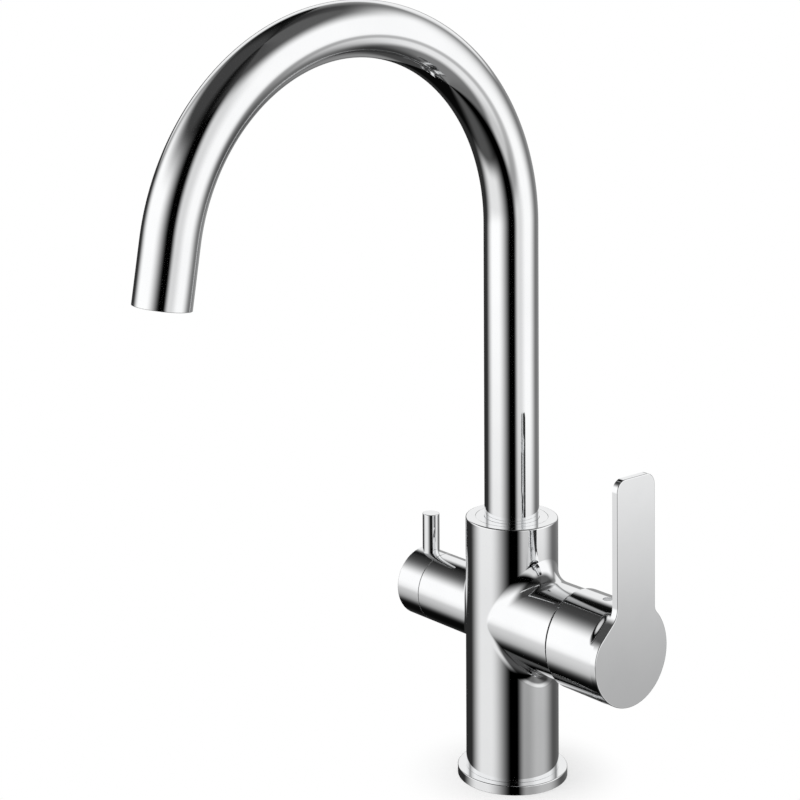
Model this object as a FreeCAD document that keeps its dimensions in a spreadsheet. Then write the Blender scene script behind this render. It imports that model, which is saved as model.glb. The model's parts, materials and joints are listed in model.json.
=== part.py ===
import FreeCAD, Part
import Sketcher
import math
import os
import re

# Kitchen tap with three ways: hot and cold mixed by the lever on the right branch (+X), filtered water
# by the quarter-turn knob on the left branch (-X). The spout reaches forward (-Y).
# Origin: centre of the foot, on the sink top. +Z up. Millimetres.

SIZES = {
    # column and foot
    "column_radius": 23.65,
    "column_height": 132.3,
    "column_rim_round": 0.8,
    "flange_radius": 28.0,
    "flange_height": 4.6,
    "flange_edge": 0.5,
    "spigot_radius": 21.0,
    "recess_radius": 18.6,
    "recess_height": 48.0,
    "seal_inner_radius": 22.6,
    "seal_outer_radius": 25.8,
    "seal_thickness": 2.0,
    # water inlets and fixing stud, in the roof of the recess
    "inlet_radius": 4.46,
    "inlet_depth": 12.0,
    "passage_radius": 3.0,
    "mixed_inlet_forward": 8.0,
    "mixed_inlet_side": 9.0,
    "filtered_inlet_back": 13.0,
    "stud_radius": 3.4,
    "stud_depth": 14.0,
    # mixer branch
    "mixer_height": 83.0,
    "mixer_radius": 23.0,
    "mixer_end": 47.5,
    "mixer_fillet": 9.5,
    "cartridge_bore": 18.0,
    "cartridge_floor": 15.1,
    # filter branch
    "filter_height": 81.5,
    "filter_radius": 17.5,
    "filter_end": 53.0,
    "filter_fillet": 3.5,
    "headwork_bore": 11.0,
    "headwork_floor": 20.0,
    "seat_port_radius": 3.5,
    "filtered_way_radius": 2.0,
    # mixed water chamber and the boss that carries the filtered riser
    "chamber_radius": 8.0,
    "chamber_floor": 71.0,
    "riser_boss_radius": 5.5,
    "riser_radius": 4.0,
    "riser_wall": 1.5,
    "rib_half_width": 3.4,
    "rib_half_height": 3.4,
    # heights above the floor of the chamber
    "filtered_way_height": 13.0,
    "riser_seat": 15.5,
    "riser_boss_top": 19.0,
    # depths below the top of the column
    "riser_top": 8.3,
    "swivel_seat": 12.3,
    "seal_bore_floor": 28.3,
    # spout swivel
    "seal_bore_radius": 15.0,
    "swivel_bore_radius": 18.65,
    "glide_thickness": 1.0,
    "foot_flange_radius": 17.6,
    "foot_flange_thickness": 3.0,
    "foot_skirt_length": 16.0,
    "foot_bore_radius": 11.5,
    "foot_spigot_length": 10.0,
    "hub_radius": 6.5,
    "web_thickness": 3.0,
    "web_length": 9.0,
    "ring_cord": 0.75,
    "riser_ring_cord": 0.65,
    "groove_width": 2.4,
    # heights above the bottom of the spout foot
    "first_ring_height": 4.15,
    "second_ring_height": 10.15,
    "riser_ring_height": 6.15,
    # spout
    "tube_radius": 14.0,
    "tube_wall": 1.0,
    "arc_start": 282.5,
    "arc_radius": 106.5,
    "arc_sweep": 170.9,
    "outlet_straight": 29.5,
    "inner_pipe_radius": 3.0,
    "inner_pipe_wall": 1.0,
    "inner_pipe_seat": 3.0,
    "inner_pipe_grip": 7.0,
    # outlet
    "outlet_recess": 1.5,
    "aerator_wall": 1.4,
    "aerator_length": 12.0,
    "insert_thickness": 3.0,
    "insert_hole_radius": 0.7,
    "insert_first_row": 6.2,
    "insert_row_step": 1.8,
    "insert_first_count": 12,
    "insert_count_step": 6,
    "nozzle_radius": 4.5,
    "nozzle_bore": 2.6,
    "nozzle_length": 18.0,
    "nozzle_head_radius": 6.0,
    "washer_thickness": 1.5,
    # mixer cartridge, along the branch axis
    "cartridge_radius": 17.4,
    "cartridge_base_thickness": 3.4,
    "port_radius": 2.8,
    "port_seal_radius": 4.2,
    "port_seal_thickness": 1.6,
    "inlet_port_side": 6.5,
    "inlet_port_rise": 5.0,
    "outlet_port_drop": 6.0,
    "fixed_disc_thickness": 4.0,
    "moving_disc_radius": 11.0,
    "moving_disc_thickness": 4.4,
    "mixing_pocket_radius": 6.4,
    "mixing_pocket_drop": 3.7,
    "mixing_pocket_depth": 2.5,
    "slider_radius": 10.5,
    "slider_plate_thickness": 2.2,
    "slider_half_width": 6.0,
    "slider_half_height": 8.0,
    "slider_top": 35.6,
    "housing_wall": 1.8,
    "housing_shoulder": 38.4,
    "housing_neck_radius": 14.6,
    "housing_neck_end": 42.0,
    "guide_collar_top": 36.2,
    "guide_neck_radius": 12.5,
    "guide_end": 46.5,
    "stem_slot_half_height": 7.5,
    "nut_end": 44.0,
    "pivot_place": 43.5,
    "pivot_radius": 1.5,
    "pivot_half_length": 12.0,
    "ball_arm": 10.0,
    "ball_radius": 3.0,
    "stem_neck_radius": 2.2,
    "stem_half_width": 3.95,
    "stem_shoulder": 40.0,
    "stem_end": 77.5,
    "dome_radius": 21.5,
    "dome_wall": 1.2,
    "dome_opening": 14.5,
    # lever
    "skirt_gap": 2.0,
    "skirt_radius": 24.4,
    "skirt_rim_wall": 0.85,
    "skirt_wall": 2.4,
    "skirt_taper_length": 4.0,
    "lever_face": 83.75,
    "plate_thickness": 3.4,
    "plate_radius": 25.1,
    "plate_rise": 1.0,
    "plate_edge": 0.5,
    "blade_top": 87.5,
    "blade_front": 9.7,
    "blade_rear": 16.8,
    "blade_corner": 6.0,
    "shoulder_fillet": 5.0,
    "neck_radius": 10.0,
    "cheek_radius": 15.0,
    "neck_sweep": 48.0,
    "lever_boss_radius": 9.0,
    "lever_boss_start": 66.0,
    "screw_place": 68.0,
    "screw_radius": 2.5,
    "screw_length": 8.0,
    "screw_boss_radius": 4.6,
    "plug_length": 4.5,
    # filter headwork, knob and pin
    "headwork_nose_radius": 9.2,
    "headwork_chamber_radius": 7.6,
    "headwork_neck_radius": 8.0,
    "headwork_neck_length": 3.0,
    "headwork_thread_start": 34.0,
    "headwork_shoulder": 46.0,
    "seat_seal_thickness": 2.2,
    "filter_disc_thickness": 2.5,
    "filter_port_radius": 2.0,
    "spindle_radius": 4.0,
    "spindle_head_thickness": 2.4,
    "spindle_end": 65.5,
    "clip_thickness": 0.8,
    "clip_radius": 6.0,
    "knob_gap": 0.25,
    "knob_end": 69.7,
    "knob_hollow_radius": 13.5,
    "knob_hollow_depth": 5.8,
    "knob_edge": 0.5,
    "pin_radius": 4.5,
    "pin_place": 62.4,
    "pin_top": 37.5,
    "pin_seat": 14.5,
    "pin_shank_radius": 3.0,
    "pin_shank_length": 5.0,
    "pin_edge": 0.4,
    "knob_screw_radius": 2.0,
    "knob_screw_length": 6.0,
    # clearances
    "running_gap": 0.08,
    "face_gap": 0.05,
    "seat_gap": 0.05,
    "loose_gap": 0.2,
}

OVERRUN = 1.0  # how far a drill runs on past the face it breaks out of
INSERT_ROWS = 3

document = FreeCAD.newDocument("tap")
sheet = document.addObject("Spreadsheet::Sheet", "Sizes")
for row, (alias, number) in enumerate(SIZES.items(), start=1):
    sheet.set("A%d" % row, alias)
    sheet.set("B%d" % row, str(number))
    sheet.setAlias("B%d" % row, alias)
document.recompute()

SUBPARTS = []
TURNS = {
    "+Z": FreeCAD.Rotation(),
    "-Z": FreeCAD.Rotation(FreeCAD.Vector(1, 0, 0), 180),
    "+X": FreeCAD.Rotation(FreeCAD.Vector(0, 1, 0), 90),
    "-X": FreeCAD.Rotation(FreeCAD.Vector(0, 1, 0), -90),
    "+Y": FreeCAD.Rotation(FreeCAD.Vector(1, 0, 0), -90),
}


def formula(text):
    """Writes the sheet's name before each size that a formula uses."""
    return re.sub(r"[a-z_]+", lambda word: ("Sizes." if word.group() in SIZES else "") + word.group(),
                  text)


def value(text):
    """Works a formula out from the sheet."""
    return float(sheet.evalExpression(formula(text)))


def bind(item, prop, text):
    """Ties a property of an object to a formula on the sheet."""
    item.setExpression(prop, formula(text))


def place(item, at, turn=None):
    """Puts an object at three formulas, after a turn."""
    if turn is not None:
        item.Placement = FreeCAD.Placement(FreeCAD.Vector(), turn)
    for letter, text in zip("xyz", at):
        if text != "0":
            bind(item, "Placement.Base." + letter, text)
    return item


def keep(item, name):
    """Names a finished sub-part."""
    item.Label = name
    SUBPARTS.append(item)
    return item


def cylinder(name, radius, length, at=("0", "0", "0"), along="+Z"):
    item = document.addObject("Part::Cylinder", name)
    bind(item, "Radius", radius)
    bind(item, "Height", length)
    return place(item, at, TURNS[along])


def drill(name, radius, length, at=("0", "0", "0"), along="+Z"):
    """A cylinder for cutting, which runs on past its length."""
    return cylinder(name, radius, "%s + %s" % (length, OVERRUN), at, along)


def box(name, across, at):
    """A box centred on a place, with three formulas for its full sizes."""
    item = document.addObject("Part::Box", name)
    for prop, text in zip(("Length", "Width", "Height"), across):
        bind(item, prop, text)
    corner = ["%s - (%s) / 2" % (middle, text) for middle, text in zip(at, across)]
    return place(item, corner)


def round_ring(name, ring_radius, cord_radius, at, along="+Z"):
    item = document.addObject("Part::Torus", name)
    bind(item, "Radius1", ring_radius)
    bind(item, "Radius2", cord_radius)
    return place(item, at, TURNS[along])


def joined(name, *pieces):
    item = document.addObject("Part::MultiFuse", name)
    item.Shapes = list(pieces)
    return item


def cut_away(name, whole, *tools):
    item = document.addObject("Part::Cut", name)
    item.Base = whole
    item.Tool = tools[0] if len(tools) == 1 else joined(name + "_tools", *tools)
    return item


def tie_point(sketch, piece, end, across, up):
    """Holds one end of a sketch line at two formulas."""
    if value(across) == 0 and value(up) == 0:
        sketch.addConstraint(Sketcher.Constraint("Coincident", piece, end, -1, 1))
        return
    for kind, axis, text in (("DistanceX", -2, across), ("DistanceY", -1, up)):
        if value(text) == 0:
            sketch.addConstraint(Sketcher.Constraint("PointOnObject", piece, end, axis))
            continue
        number = sketch.addConstraint(Sketcher.Constraint(kind, -1, 1, piece, end, value(text)))
        bind(sketch, "Constraints[%d]" % number, text)


def draw_line(sketch, corners, closed=True):
    """Draws an outline. A corner is (across, up), or (across, up, radius, way) where an arc leaves it:
    way is 1 for an arc that turns left and -1 for one that turns right."""
    count = len(corners)
    spots = [FreeCAD.Vector(value(corner[0]), value(corner[1]), 0) for corner in corners]
    ends = []
    for number in range(count if closed else count - 1):
        corner = corners[number]
        first, last = spots[number], spots[(number + 1) % count]
        if len(corner) == 2:
            ends.append((sketch.addGeometry(Part.LineSegment(first, last)), 1, 2))
            continue
        radius, way = value(corner[2]), corner[3]
        half = (last - first) * 0.5
        left = FreeCAD.Vector(-half.y, half.x, 0).normalize()
        rise = radius - math.sqrt(max(radius**2 - half.Length**2, 0))
        crown = first + half - left * (way * rise)
        spread = (first, crown, last) if way > 0 else (last, crown, first)
        piece = sketch.addGeometry(Part.Arc(*spread))
        ends.append((piece, 1, 2) if way > 0 else (piece, 2, 1))
        made = sketch.addConstraint(Sketcher.Constraint("Radius", piece, radius))
        bind(sketch, "Constraints[%d]" % made, corner[2])
    for number, (piece, start, end) in enumerate(ends):
        tie_point(sketch, piece, start, corners[number][0], corners[number][1])
        if closed or number + 1 < len(ends):
            following = ends[(number + 1) % len(ends)]
            sketch.addConstraint(Sketcher.Constraint("Coincident", piece, end, following[0], following[1]))
        else:
            tie_point(sketch, piece, end, corners[-1][0], corners[-1][1])


def draw_circle(sketch, radius, across="0", up="0"):
    centre = FreeCAD.Vector(value(across), value(up), 0)
    piece = sketch.addGeometry(Part.Circle(centre, FreeCAD.Vector(0, 0, 1), value(radius)))
    number = sketch.addConstraint(Sketcher.Constraint("Radius", piece, value(radius)))
    bind(sketch, "Constraints[%d]" % number, radius)
    tie_point(sketch, piece, 3, across, up)


def new_body(name):
    return document.addObject("PartDesign::Body", name)


def sketch_on(body, role, name):
    """A sketch on one of the body's own origin planes."""
    sketch = body.newObject("Sketcher::SketchObject", name)
    plane = [feature for feature in body.Origin.OriginFeatures if feature.Role == role][0]
    sketch.AttachmentSupport = [(plane, "")]
    sketch.MapMode = "FlatFace"
    return sketch


def turned(name, corners, axis="V_Axis"):
    """A body turned on a lathe: its half section, spun round the upright or the level sketch axis."""
    body = new_body(name)
    sketch = sketch_on(body, "XZ_Plane", name + "_section")
    draw_line(sketch, corners)
    spin = body.newObject("PartDesign::Revolution", name + "_spin")
    spin.Profile = sketch
    spin.ReferenceAxis = (sketch, [axis])
    spin.Angle = 360
    sketch.Visibility = False
    return body


def ring(name, inner, outer, low, high, axis="V_Axis"):
    """A plain ring of square section between two radii and two heights."""
    if axis == "V_Axis":
        return turned(name, [(inner, low), (outer, low), (outer, high), (inner, high)])
    return turned(name, [(low, inner), (high, inner), (high, outer), (low, outer)], axis)


def on_mixer_axis(body):
    """Parts of the cartridge are drawn along X and lifted to the mixer branch."""
    return place(body, ("0", "0", "mixer_height"))


def on_filter_axis(body):
    """Parts of the headwork are drawn along X, turned to face -X and lifted to the filter branch."""
    return place(body, ("0", "0", "filter_height"), FreeCAD.Rotation(FreeCAD.Vector(0, 0, 1), 180))


def padded(body, role, name, length, draw, reverse=False):
    sketch = sketch_on(body, role, name + "_sketch")
    draw(sketch)
    pad = body.newObject("PartDesign::Pad", name)
    pad.Profile = sketch
    bind(pad, "Length", length)
    pad.Reversed = reverse
    return pad


def edges_between(shape, first_radius, second_radius):
    """Names of the edges where two cylinders of these radii meet."""
    names = []
    for number, edge in enumerate(shape.Edges, start=1):
        radii = []
        for face in shape.ancestorsOfType(edge, Part.Face):
            if isinstance(face.Surface, Part.Cylinder):
                radii.append(round(face.Surface.Radius, 4))
        if sorted(radii) == sorted([round(first_radius, 4), round(second_radius, 4)]):
            names.append("Edge%d" % number)
    return names


def flat_edges(shape, direction, place_along):
    """Names of the edges that lie in one plane across a direction."""
    names = []
    for number, edge in enumerate(shape.Edges, start=1):
        low = min(vertex.Point.dot(direction) for vertex in edge.Vertexes)
        high = max(vertex.Point.dot(direction) for vertex in edge.Vertexes)
        middle = edge.valueAt((edge.FirstParameter + edge.LastParameter) / 2).dot(direction)
        if max(abs(low - place_along), abs(high - place_along), abs(middle - place_along)) < 1e-4:
            names.append("Edge%d" % number)
    return names


def fillet(body, name, edges, radius, kind="PartDesign::Fillet"):
    """Rounds edges of the body's last feature, or bevels them."""
    base = body.Tip
    item = body.newObject(kind, name)
    item.Base = (base, edges)
    bind(item, "Radius" if kind == "PartDesign::Fillet" else "Size", radius)
    document.recompute()
    return item


# --- heights inside the column ---

FILTERED_WAY = "chamber_floor + filtered_way_height"
RISER_SEAT = "chamber_floor + riser_seat"
SWIVEL_SEAT = "column_height - swivel_seat"
SEAL_FLOOR = "column_height - seal_bore_floor"
RISER_TOP = "column_height - riser_top"
FLANGE_BOTTOM = SWIVEL_SEAT + " + glide_thickness + face_gap"
FLANGE_TOP = FLANGE_BOTTOM + " + foot_flange_thickness"
FOOT_BOTTOM = FLANGE_BOTTOM + " - foot_skirt_length"
FOOT_TOP = FLANGE_TOP + " + foot_spigot_length"
FIRST_RING = FOOT_BOTTOM + " + first_ring_height"
SECOND_RING = FOOT_BOTTOM + " + second_ring_height"
RISER_RING = FOOT_BOTTOM + " + riser_ring_height"


# --- tap body and foot ---


def tap_body_outside():
    """Column and both branches, blended where they meet."""
    column = turned(
        "column",
        [
            ("0", "0"),
            ("spigot_radius", "0"),
            ("spigot_radius", "flange_height"),
            ("column_radius", "flange_height"),
            ("column_radius", "column_height - column_rim_round", "column_rim_round", 1),
            ("column_radius - column_rim_round", "column_height"),
            ("0", "column_height"),
        ],
    )
    padded(column, "YZ_Plane", "mixer_branch", "mixer_end",
           lambda sketch: draw_circle(sketch, "mixer_radius", "0", "mixer_height"))
    document.recompute()
    edges = edges_between(column.Tip.Shape, value("column_radius"), value("mixer_radius"))
    fillet(column, "mixer_blend", edges, "mixer_fillet")
    padded(column, "YZ_Plane", "filter_branch", "filter_end",
           lambda sketch: draw_circle(sketch, "filter_radius", "0", "filter_height"), reverse=True)
    document.recompute()
    edges = edges_between(column.Tip.Shape, value("column_radius"), value("filter_radius"))
    fillet(column, "filter_blend", edges, "filter_fillet")
    return column


def water_ways():
    """Everything that is bored out of the casting."""
    roof = "recess_height"
    ways = [
        cylinder("foot_recess", "recess_radius", roof),
        cylinder("stud_hole", "stud_radius", "stud_depth", ("0", "0", roof)),
        drill("cartridge_room", "cartridge_bore", "mixer_end - cartridge_floor",
              ("cartridge_floor", "0", "mixer_height"), "+X"),
        drill("headwork_room", "headwork_bore", "filter_end - headwork_floor",
              ("-headwork_floor", "0", "filter_height"), "-X"),
        drill("seat_port", "seat_port_radius", "headwork_floor - filtered_inlet_back",
              ("-filtered_inlet_back", "0", "filter_height"), "-X"),
        drill("filtered_way", "filtered_way_radius", "headwork_floor",
              ("0", "0", FILTERED_WAY), "-X"),
        drill("riser_way", "riser_radius - riser_wall", "riser_seat - filtered_way_height",
              ("0", "0", FILTERED_WAY)),
        drill("riser_socket", "riser_radius", "riser_boss_top - riser_seat", ("0", "0", RISER_SEAT)),
        drill("seal_bore", "seal_bore_radius", "seal_bore_floor - swivel_seat", ("0", "0", SEAL_FLOOR)),
        drill("swivel_bore", "swivel_bore_radius", "swivel_seat", ("0", "0", SWIVEL_SEAT)),
        drill("mixed_port", "port_radius", "cartridge_floor - riser_boss_radius - loose_gap",
              ("riser_boss_radius + loose_gap", "0", "mixer_height - outlet_port_drop"), "+X"),
    ]
    for name, sign in (("hot", ""), ("cold", "-")):
        ways.append(inlet(name, "mixed_inlet_forward", sign + "mixed_inlet_side",
                          "mixer_height + inlet_port_rise + passage_radius"))
        ways.append(drill(name + "_port", "port_radius", "cartridge_floor - mixed_inlet_forward",
                          ("mixed_inlet_forward", sign + "inlet_port_side",
                           "mixer_height + inlet_port_rise"), "+X"))
    ways.append(inlet("filtered", "-filtered_inlet_back", "0", "filter_height + passage_radius"))
    ways.append(mixed_chamber())
    return ways


def inlet(name, across, side, top):
    """A threaded hole in the roof of the recess and the passage that goes on up from it."""
    hole = cylinder(name + "_inlet", "inlet_radius", "inlet_depth", (across, side, "recess_height"))
    passage = cylinder(name + "_passage", "passage_radius", "%s - recess_height" % top,
                       (across, side, "recess_height"))
    return joined(name + "_supply", hole, passage)


def mixed_chamber():
    """Room for mixed water round the boss of the riser, with the rib that feeds the boss left standing."""
    room = drill("chamber_room", "chamber_radius", SEAL_FLOOR + " - chamber_floor",
                 ("0", "0", "chamber_floor"))
    boss = cylinder("riser_boss", "riser_boss_radius", "riser_boss_top", ("0", "0", "chamber_floor"))
    rib = box("feed_rib", ("chamber_radius * 2", "rib_half_width * 2", "rib_half_height * 2"),
              ("-chamber_radius", "0", FILTERED_WAY))
    return cut_away("chamber", room, boss, rib)


def tap_body():
    keep(cut_away("tap_body_cut", tap_body_outside(), *water_ways()), "tap_body")


def base_flange():
    keep(turned("flange_ring", [
        ("spigot_radius + seat_gap", "0"),
        ("seal_inner_radius", "0"),
        ("seal_inner_radius", "seal_thickness"),
        ("seal_outer_radius", "seal_thickness"),
        ("seal_outer_radius", "0"),
        ("flange_radius", "0"),
        ("flange_radius", "flange_height - flange_edge", "flange_edge", 1),
        ("flange_radius - flange_edge", "flange_height"),
        ("spigot_radius + seat_gap", "flange_height"),
    ]), "base_flange")
    keep(ring("foot_seal", "seal_inner_radius + seat_gap", "seal_outer_radius - seat_gap", "0",
              "seal_thickness - seat_gap"), "base_seal")


# --- spout swivel ---


def swivel_rings():
    """Glide rings above and below the flange of the spout foot, and the flush ring screwed in over them."""
    inside = "seal_bore_radius + loose_gap"
    outside = "swivel_bore_radius - loose_gap"
    keep(ring("lower_glide", inside, outside, SWIVEL_SEAT, SWIVEL_SEAT + " + glide_thickness"),
         "lower_glide_ring")
    seat = FLANGE_TOP + " + face_gap"
    keep(ring("upper_glide", "tube_radius + loose_gap", outside, seat, seat + " + glide_thickness"),
         "upper_glide_ring")
    keep(ring("flush_ring", "tube_radius + running_gap", "swivel_bore_radius - seat_gap",
              seat + " + glide_thickness", "column_height"), "spout_collar")


def filter_riser():
    keep(ring("riser", "riser_radius - riser_wall", "riser_radius", RISER_SEAT, RISER_TOP), "filter_riser")


def groove(radius, depth, middle):
    """Corners of a groove met on the way up an outer wall."""
    low, high = middle + " - groove_width / 2", middle + " + groove_width / 2"
    return [(radius, low), (depth, low), (depth, high), (radius, high)]


def spout_foot():
    """Turned foot of the spout: sealed skirt, flange, spigot for the tube, and the hub over the riser."""
    skirt = "seal_bore_radius - running_gap"
    groove_floor = skirt + " - 2 * ring_cord"
    shell = turned("foot_shell", [
        ("foot_bore_radius", FOOT_BOTTOM),
        (skirt, FOOT_BOTTOM),
        *groove(skirt, groove_floor, FIRST_RING),
        *groove(skirt, groove_floor, SECOND_RING),
        (skirt, FLANGE_BOTTOM),
        ("foot_flange_radius", FLANGE_BOTTOM),
        ("foot_flange_radius", FLANGE_TOP),
        ("tube_radius - tube_wall", FLANGE_TOP),
        ("tube_radius - tube_wall", FOOT_TOP),
        ("foot_bore_radius", FOOT_TOP),
    ])
    middle = FLANGE_TOP + " - web_length / 2"
    span = "2 * foot_bore_radius + web_thickness / 2"
    length = "foot_skirt_length + foot_flange_thickness + foot_spigot_length"
    hub = cylinder("hub", "hub_radius", length, ("0", "0", FOOT_BOTTOM))
    first_web = box("first_web", (span, "web_thickness", "web_length"), ("0", "0", middle))
    second_web = box("second_web", ("web_thickness", span, "web_length"), ("0", "0", middle))
    whole = joined("foot_whole", shell, first_web, second_web, hub)
    hub_bore = cylinder("hub_bore", "riser_radius + running_gap",
                        RISER_TOP + " - (%s) + loose_gap" % FOOT_BOTTOM, ("0", "0", FOOT_BOTTOM))
    hub_way = cylinder("hub_way", "inner_pipe_radius - inner_pipe_wall", length, ("0", "0", FOOT_BOTTOM))
    pipe_socket = drill("pipe_socket", "inner_pipe_radius", "inner_pipe_grip",
                        ("0", "0", FOOT_TOP + " - inner_pipe_grip"))
    ring_groove = cylinder("hub_groove", "riser_radius + running_gap + 2 * riser_ring_cord", "groove_width",
                           ("0", "0", RISER_RING + " - groove_width / 2"))
    keep(cut_away("foot_cut", whole, hub_bore, hub_way, pipe_socket, ring_groove), "spout_foot")


def swivel_seals():
    middle = "seal_bore_radius - running_gap - ring_cord"
    rings = [round_ring("foot_ring_%d" % number, middle, "ring_cord", ("0", "0", height))
             for number, height in enumerate((FIRST_RING, SECOND_RING), start=1)]
    keep(joined("foot_rings", *rings), "foot_o_rings")
    keep(round_ring("riser_ring", "riser_radius + running_gap + riser_ring_cord", "riser_ring_cord",
                    ("0", "0", RISER_RING)), "riser_o_ring")


# --- spout ---

OUTLET_REACH = "(arc_radius * (1 - cos(arc_sweep)) + outlet_straight * sin(arc_sweep))"
OUTLET_HEIGHT = "(arc_start + arc_radius * sin(arc_sweep) + outlet_straight * cos(arc_sweep))"


def bent_pipe(name, radius, bore, start, shortfall):
    """A pipe that climbs from a height, follows the spout's arc and stops a length before the outlet."""
    body = new_body(name)
    path = sketch_on(body, "YZ_Plane", name + "_path")
    end = "outlet_straight - (%s)" % shortfall
    reach = "arc_radius * (1 - cos(arc_sweep))"
    height = "arc_start + arc_radius * sin(arc_sweep) - (%s)" % start
    draw_line(path, [
        ("0", "0"),
        ("0", "arc_start - (%s)" % start, "arc_radius", 1),
        ("-(%s)" % reach, height),
        ("-(%s) - (%s) * sin(arc_sweep)" % (reach, end), "%s + (%s) * cos(arc_sweep)" % (height, end)),
    ], closed=False)
    section = sketch_on(body, "XY_Plane", name + "_section")
    draw_circle(section, radius)
    draw_circle(section, bore)
    pipe = body.newObject("PartDesign::AdditivePipe", name + "_sweep")
    pipe.Profile = section
    pipe.Spine = (path, ["Edge1", "Edge2", "Edge3"])
    place(body, ("0", "0", start))
    return body


def spout_tube():
    keep(bent_pipe("tube", "tube_radius", "tube_radius - tube_wall", FLANGE_TOP, "0"), "spout_tube")


def inner_filter_pipe():
    keep(bent_pipe("inner_pipe", "inner_pipe_radius", "inner_pipe_radius - inner_pipe_wall",
                   FOOT_TOP + " - inner_pipe_grip", "outlet_recess + nozzle_length - inner_pipe_grip"),
         "inner_filter_pipe")


def at_outlet(item):
    """Drawn upright from the mouth of the spout, then leaned and carried to it."""
    item.Placement = FreeCAD.Placement(FreeCAD.Vector(), FreeCAD.Rotation(FreeCAD.Vector(-1, 0, 0), 1))
    bind(item, "Placement.Rotation.Angle", "180 - arc_sweep")
    return place(item, ("0", "-" + OUTLET_REACH, OUTLET_HEIGHT))


def aerator():
    """Threaded ring in the mouth, the washer behind it, the drilled insert and the nozzle in the middle."""
    inside = "tube_radius - tube_wall - aerator_wall"
    keep(at_outlet(ring("aerator_ring", inside, "tube_radius - tube_wall - seat_gap", "outlet_recess",
                        "outlet_recess + aerator_length")), "aerator_ring")
    keep(at_outlet(ring("outlet_washer", "nozzle_head_radius + 2 * loose_gap",
                        "tube_radius - tube_wall - seat_gap", "outlet_recess + aerator_length",
                        "outlet_recess + aerator_length + washer_thickness")), "outlet_washer")
    keep(at_outlet(aerator_insert()), "aerator_insert")
    keep(at_outlet(turned("nozzle", [
        ("nozzle_bore", "outlet_recess"),
        ("nozzle_radius", "outlet_recess"),
        ("nozzle_radius", "outlet_recess + aerator_length"),
        ("nozzle_head_radius", "outlet_recess + aerator_length"),
        ("nozzle_head_radius", "outlet_recess + nozzle_length"),
        ("inner_pipe_radius", "outlet_recess + nozzle_length"),
        ("inner_pipe_radius", "outlet_recess + nozzle_length - inner_pipe_grip"),
        ("nozzle_bore", "outlet_recess + nozzle_length - inner_pipe_grip"),
    ])), "filtered_nozzle")


def aerator_insert():
    """Ring between the nozzle and the aerator ring, with rows of holes for the mixed water."""
    body = ring("insert", "nozzle_radius + seat_gap", "tube_radius - tube_wall - aerator_wall - seat_gap",
                "outlet_recess + loose_gap", "outlet_recess + loose_gap + insert_thickness")
    for row in range(INSERT_ROWS):
        sketch = sketch_on(body, "XY_Plane", "insert_hole_%d" % row)
        draw_circle(sketch, "insert_hole_radius", "insert_first_row + %d * insert_row_step" % row, "0")
        pocket = body.newObject("PartDesign::Pocket", "insert_drill_%d" % row)
        pocket.Profile = sketch
        pocket.Type = 1
        pocket.Reversed = True
        document.recompute()
        pattern = body.newObject("PartDesign::PolarPattern", "insert_row_%d" % row)
        pattern.Originals = [pocket]
        pattern.Axis = (sketch, ["N_Axis"])
        pattern.Angle = 360
        bind(pattern, "Occurrences", "insert_first_count + %d * insert_count_step" % row)
        body.Tip = pattern
        document.recompute()
    return body


# --- mixer cartridge, along +X ---

PORTS = (
    ("hot", "inlet_port_side", "inlet_port_rise"),
    ("cold", "-inlet_port_side", "inlet_port_rise"),
    ("mixed", "0", "-outlet_port_drop"),
)
FIXED_DISC = "cartridge_floor + cartridge_base_thickness"
MOVING_DISC = FIXED_DISC + " + fixed_disc_thickness + face_gap"
SLIDER = MOVING_DISC + " + moving_disc_thickness"
GUIDE = SLIDER + " + slider_plate_thickness + loose_gap"
HOUSING_BORE = "cartridge_radius - housing_wall"


def port_bores(name, radius, start, length):
    """One bore for each water port, along the branch."""
    return [cylinder("%s_%s" % (name, port), radius, length,
                     (start, side, "mixer_height + (%s)" % rise), "+X")
            for port, side, rise in PORTS]


def cartridge_base():
    disc = cylinder("base_disc", "cartridge_radius", "cartridge_base_thickness",
                    ("cartridge_floor", "0", "mixer_height"), "+X")
    bores = port_bores("base_port", "port_radius", "cartridge_floor", "cartridge_base_thickness")
    seats = port_bores("base_seat", "port_seal_radius + seat_gap", "cartridge_floor", "port_seal_thickness")
    keep(cut_away("base_cut", disc, *bores, *seats), "cartridge_base")


def port_seals():
    """Three rubber rings between the cartridge and the floor of the branch."""
    rings = port_bores("port_ring", "port_seal_radius", "cartridge_floor", "port_seal_thickness")
    bores = port_bores("port_ring_bore", "port_radius", "cartridge_floor", "port_seal_thickness")
    keep(cut_away("seals_cut", joined("port_rings", *rings), *bores), "port_seals")


def mixer_discs():
    fixed = cylinder("fixed_plate", HOUSING_BORE + " - loose_gap", "fixed_disc_thickness",
                     (FIXED_DISC, "0", "mixer_height"), "+X")
    ports = port_bores("fixed_port", "port_radius", FIXED_DISC, "fixed_disc_thickness")
    keep(cut_away("fixed_cut", fixed, *ports), "fixed_mixer_disc")
    moving = cylinder("moving_plate", "moving_disc_radius", "moving_disc_thickness",
                      (MOVING_DISC, "0", "mixer_height"), "+X")
    pocket = cylinder("mixing_pocket", "mixing_pocket_radius", "mixing_pocket_depth",
                      (MOVING_DISC, "0", "mixer_height - mixing_pocket_drop"), "+X")
    keep(cut_away("moving_cut", moving, pocket), "moving_mixer_disc")


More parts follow.
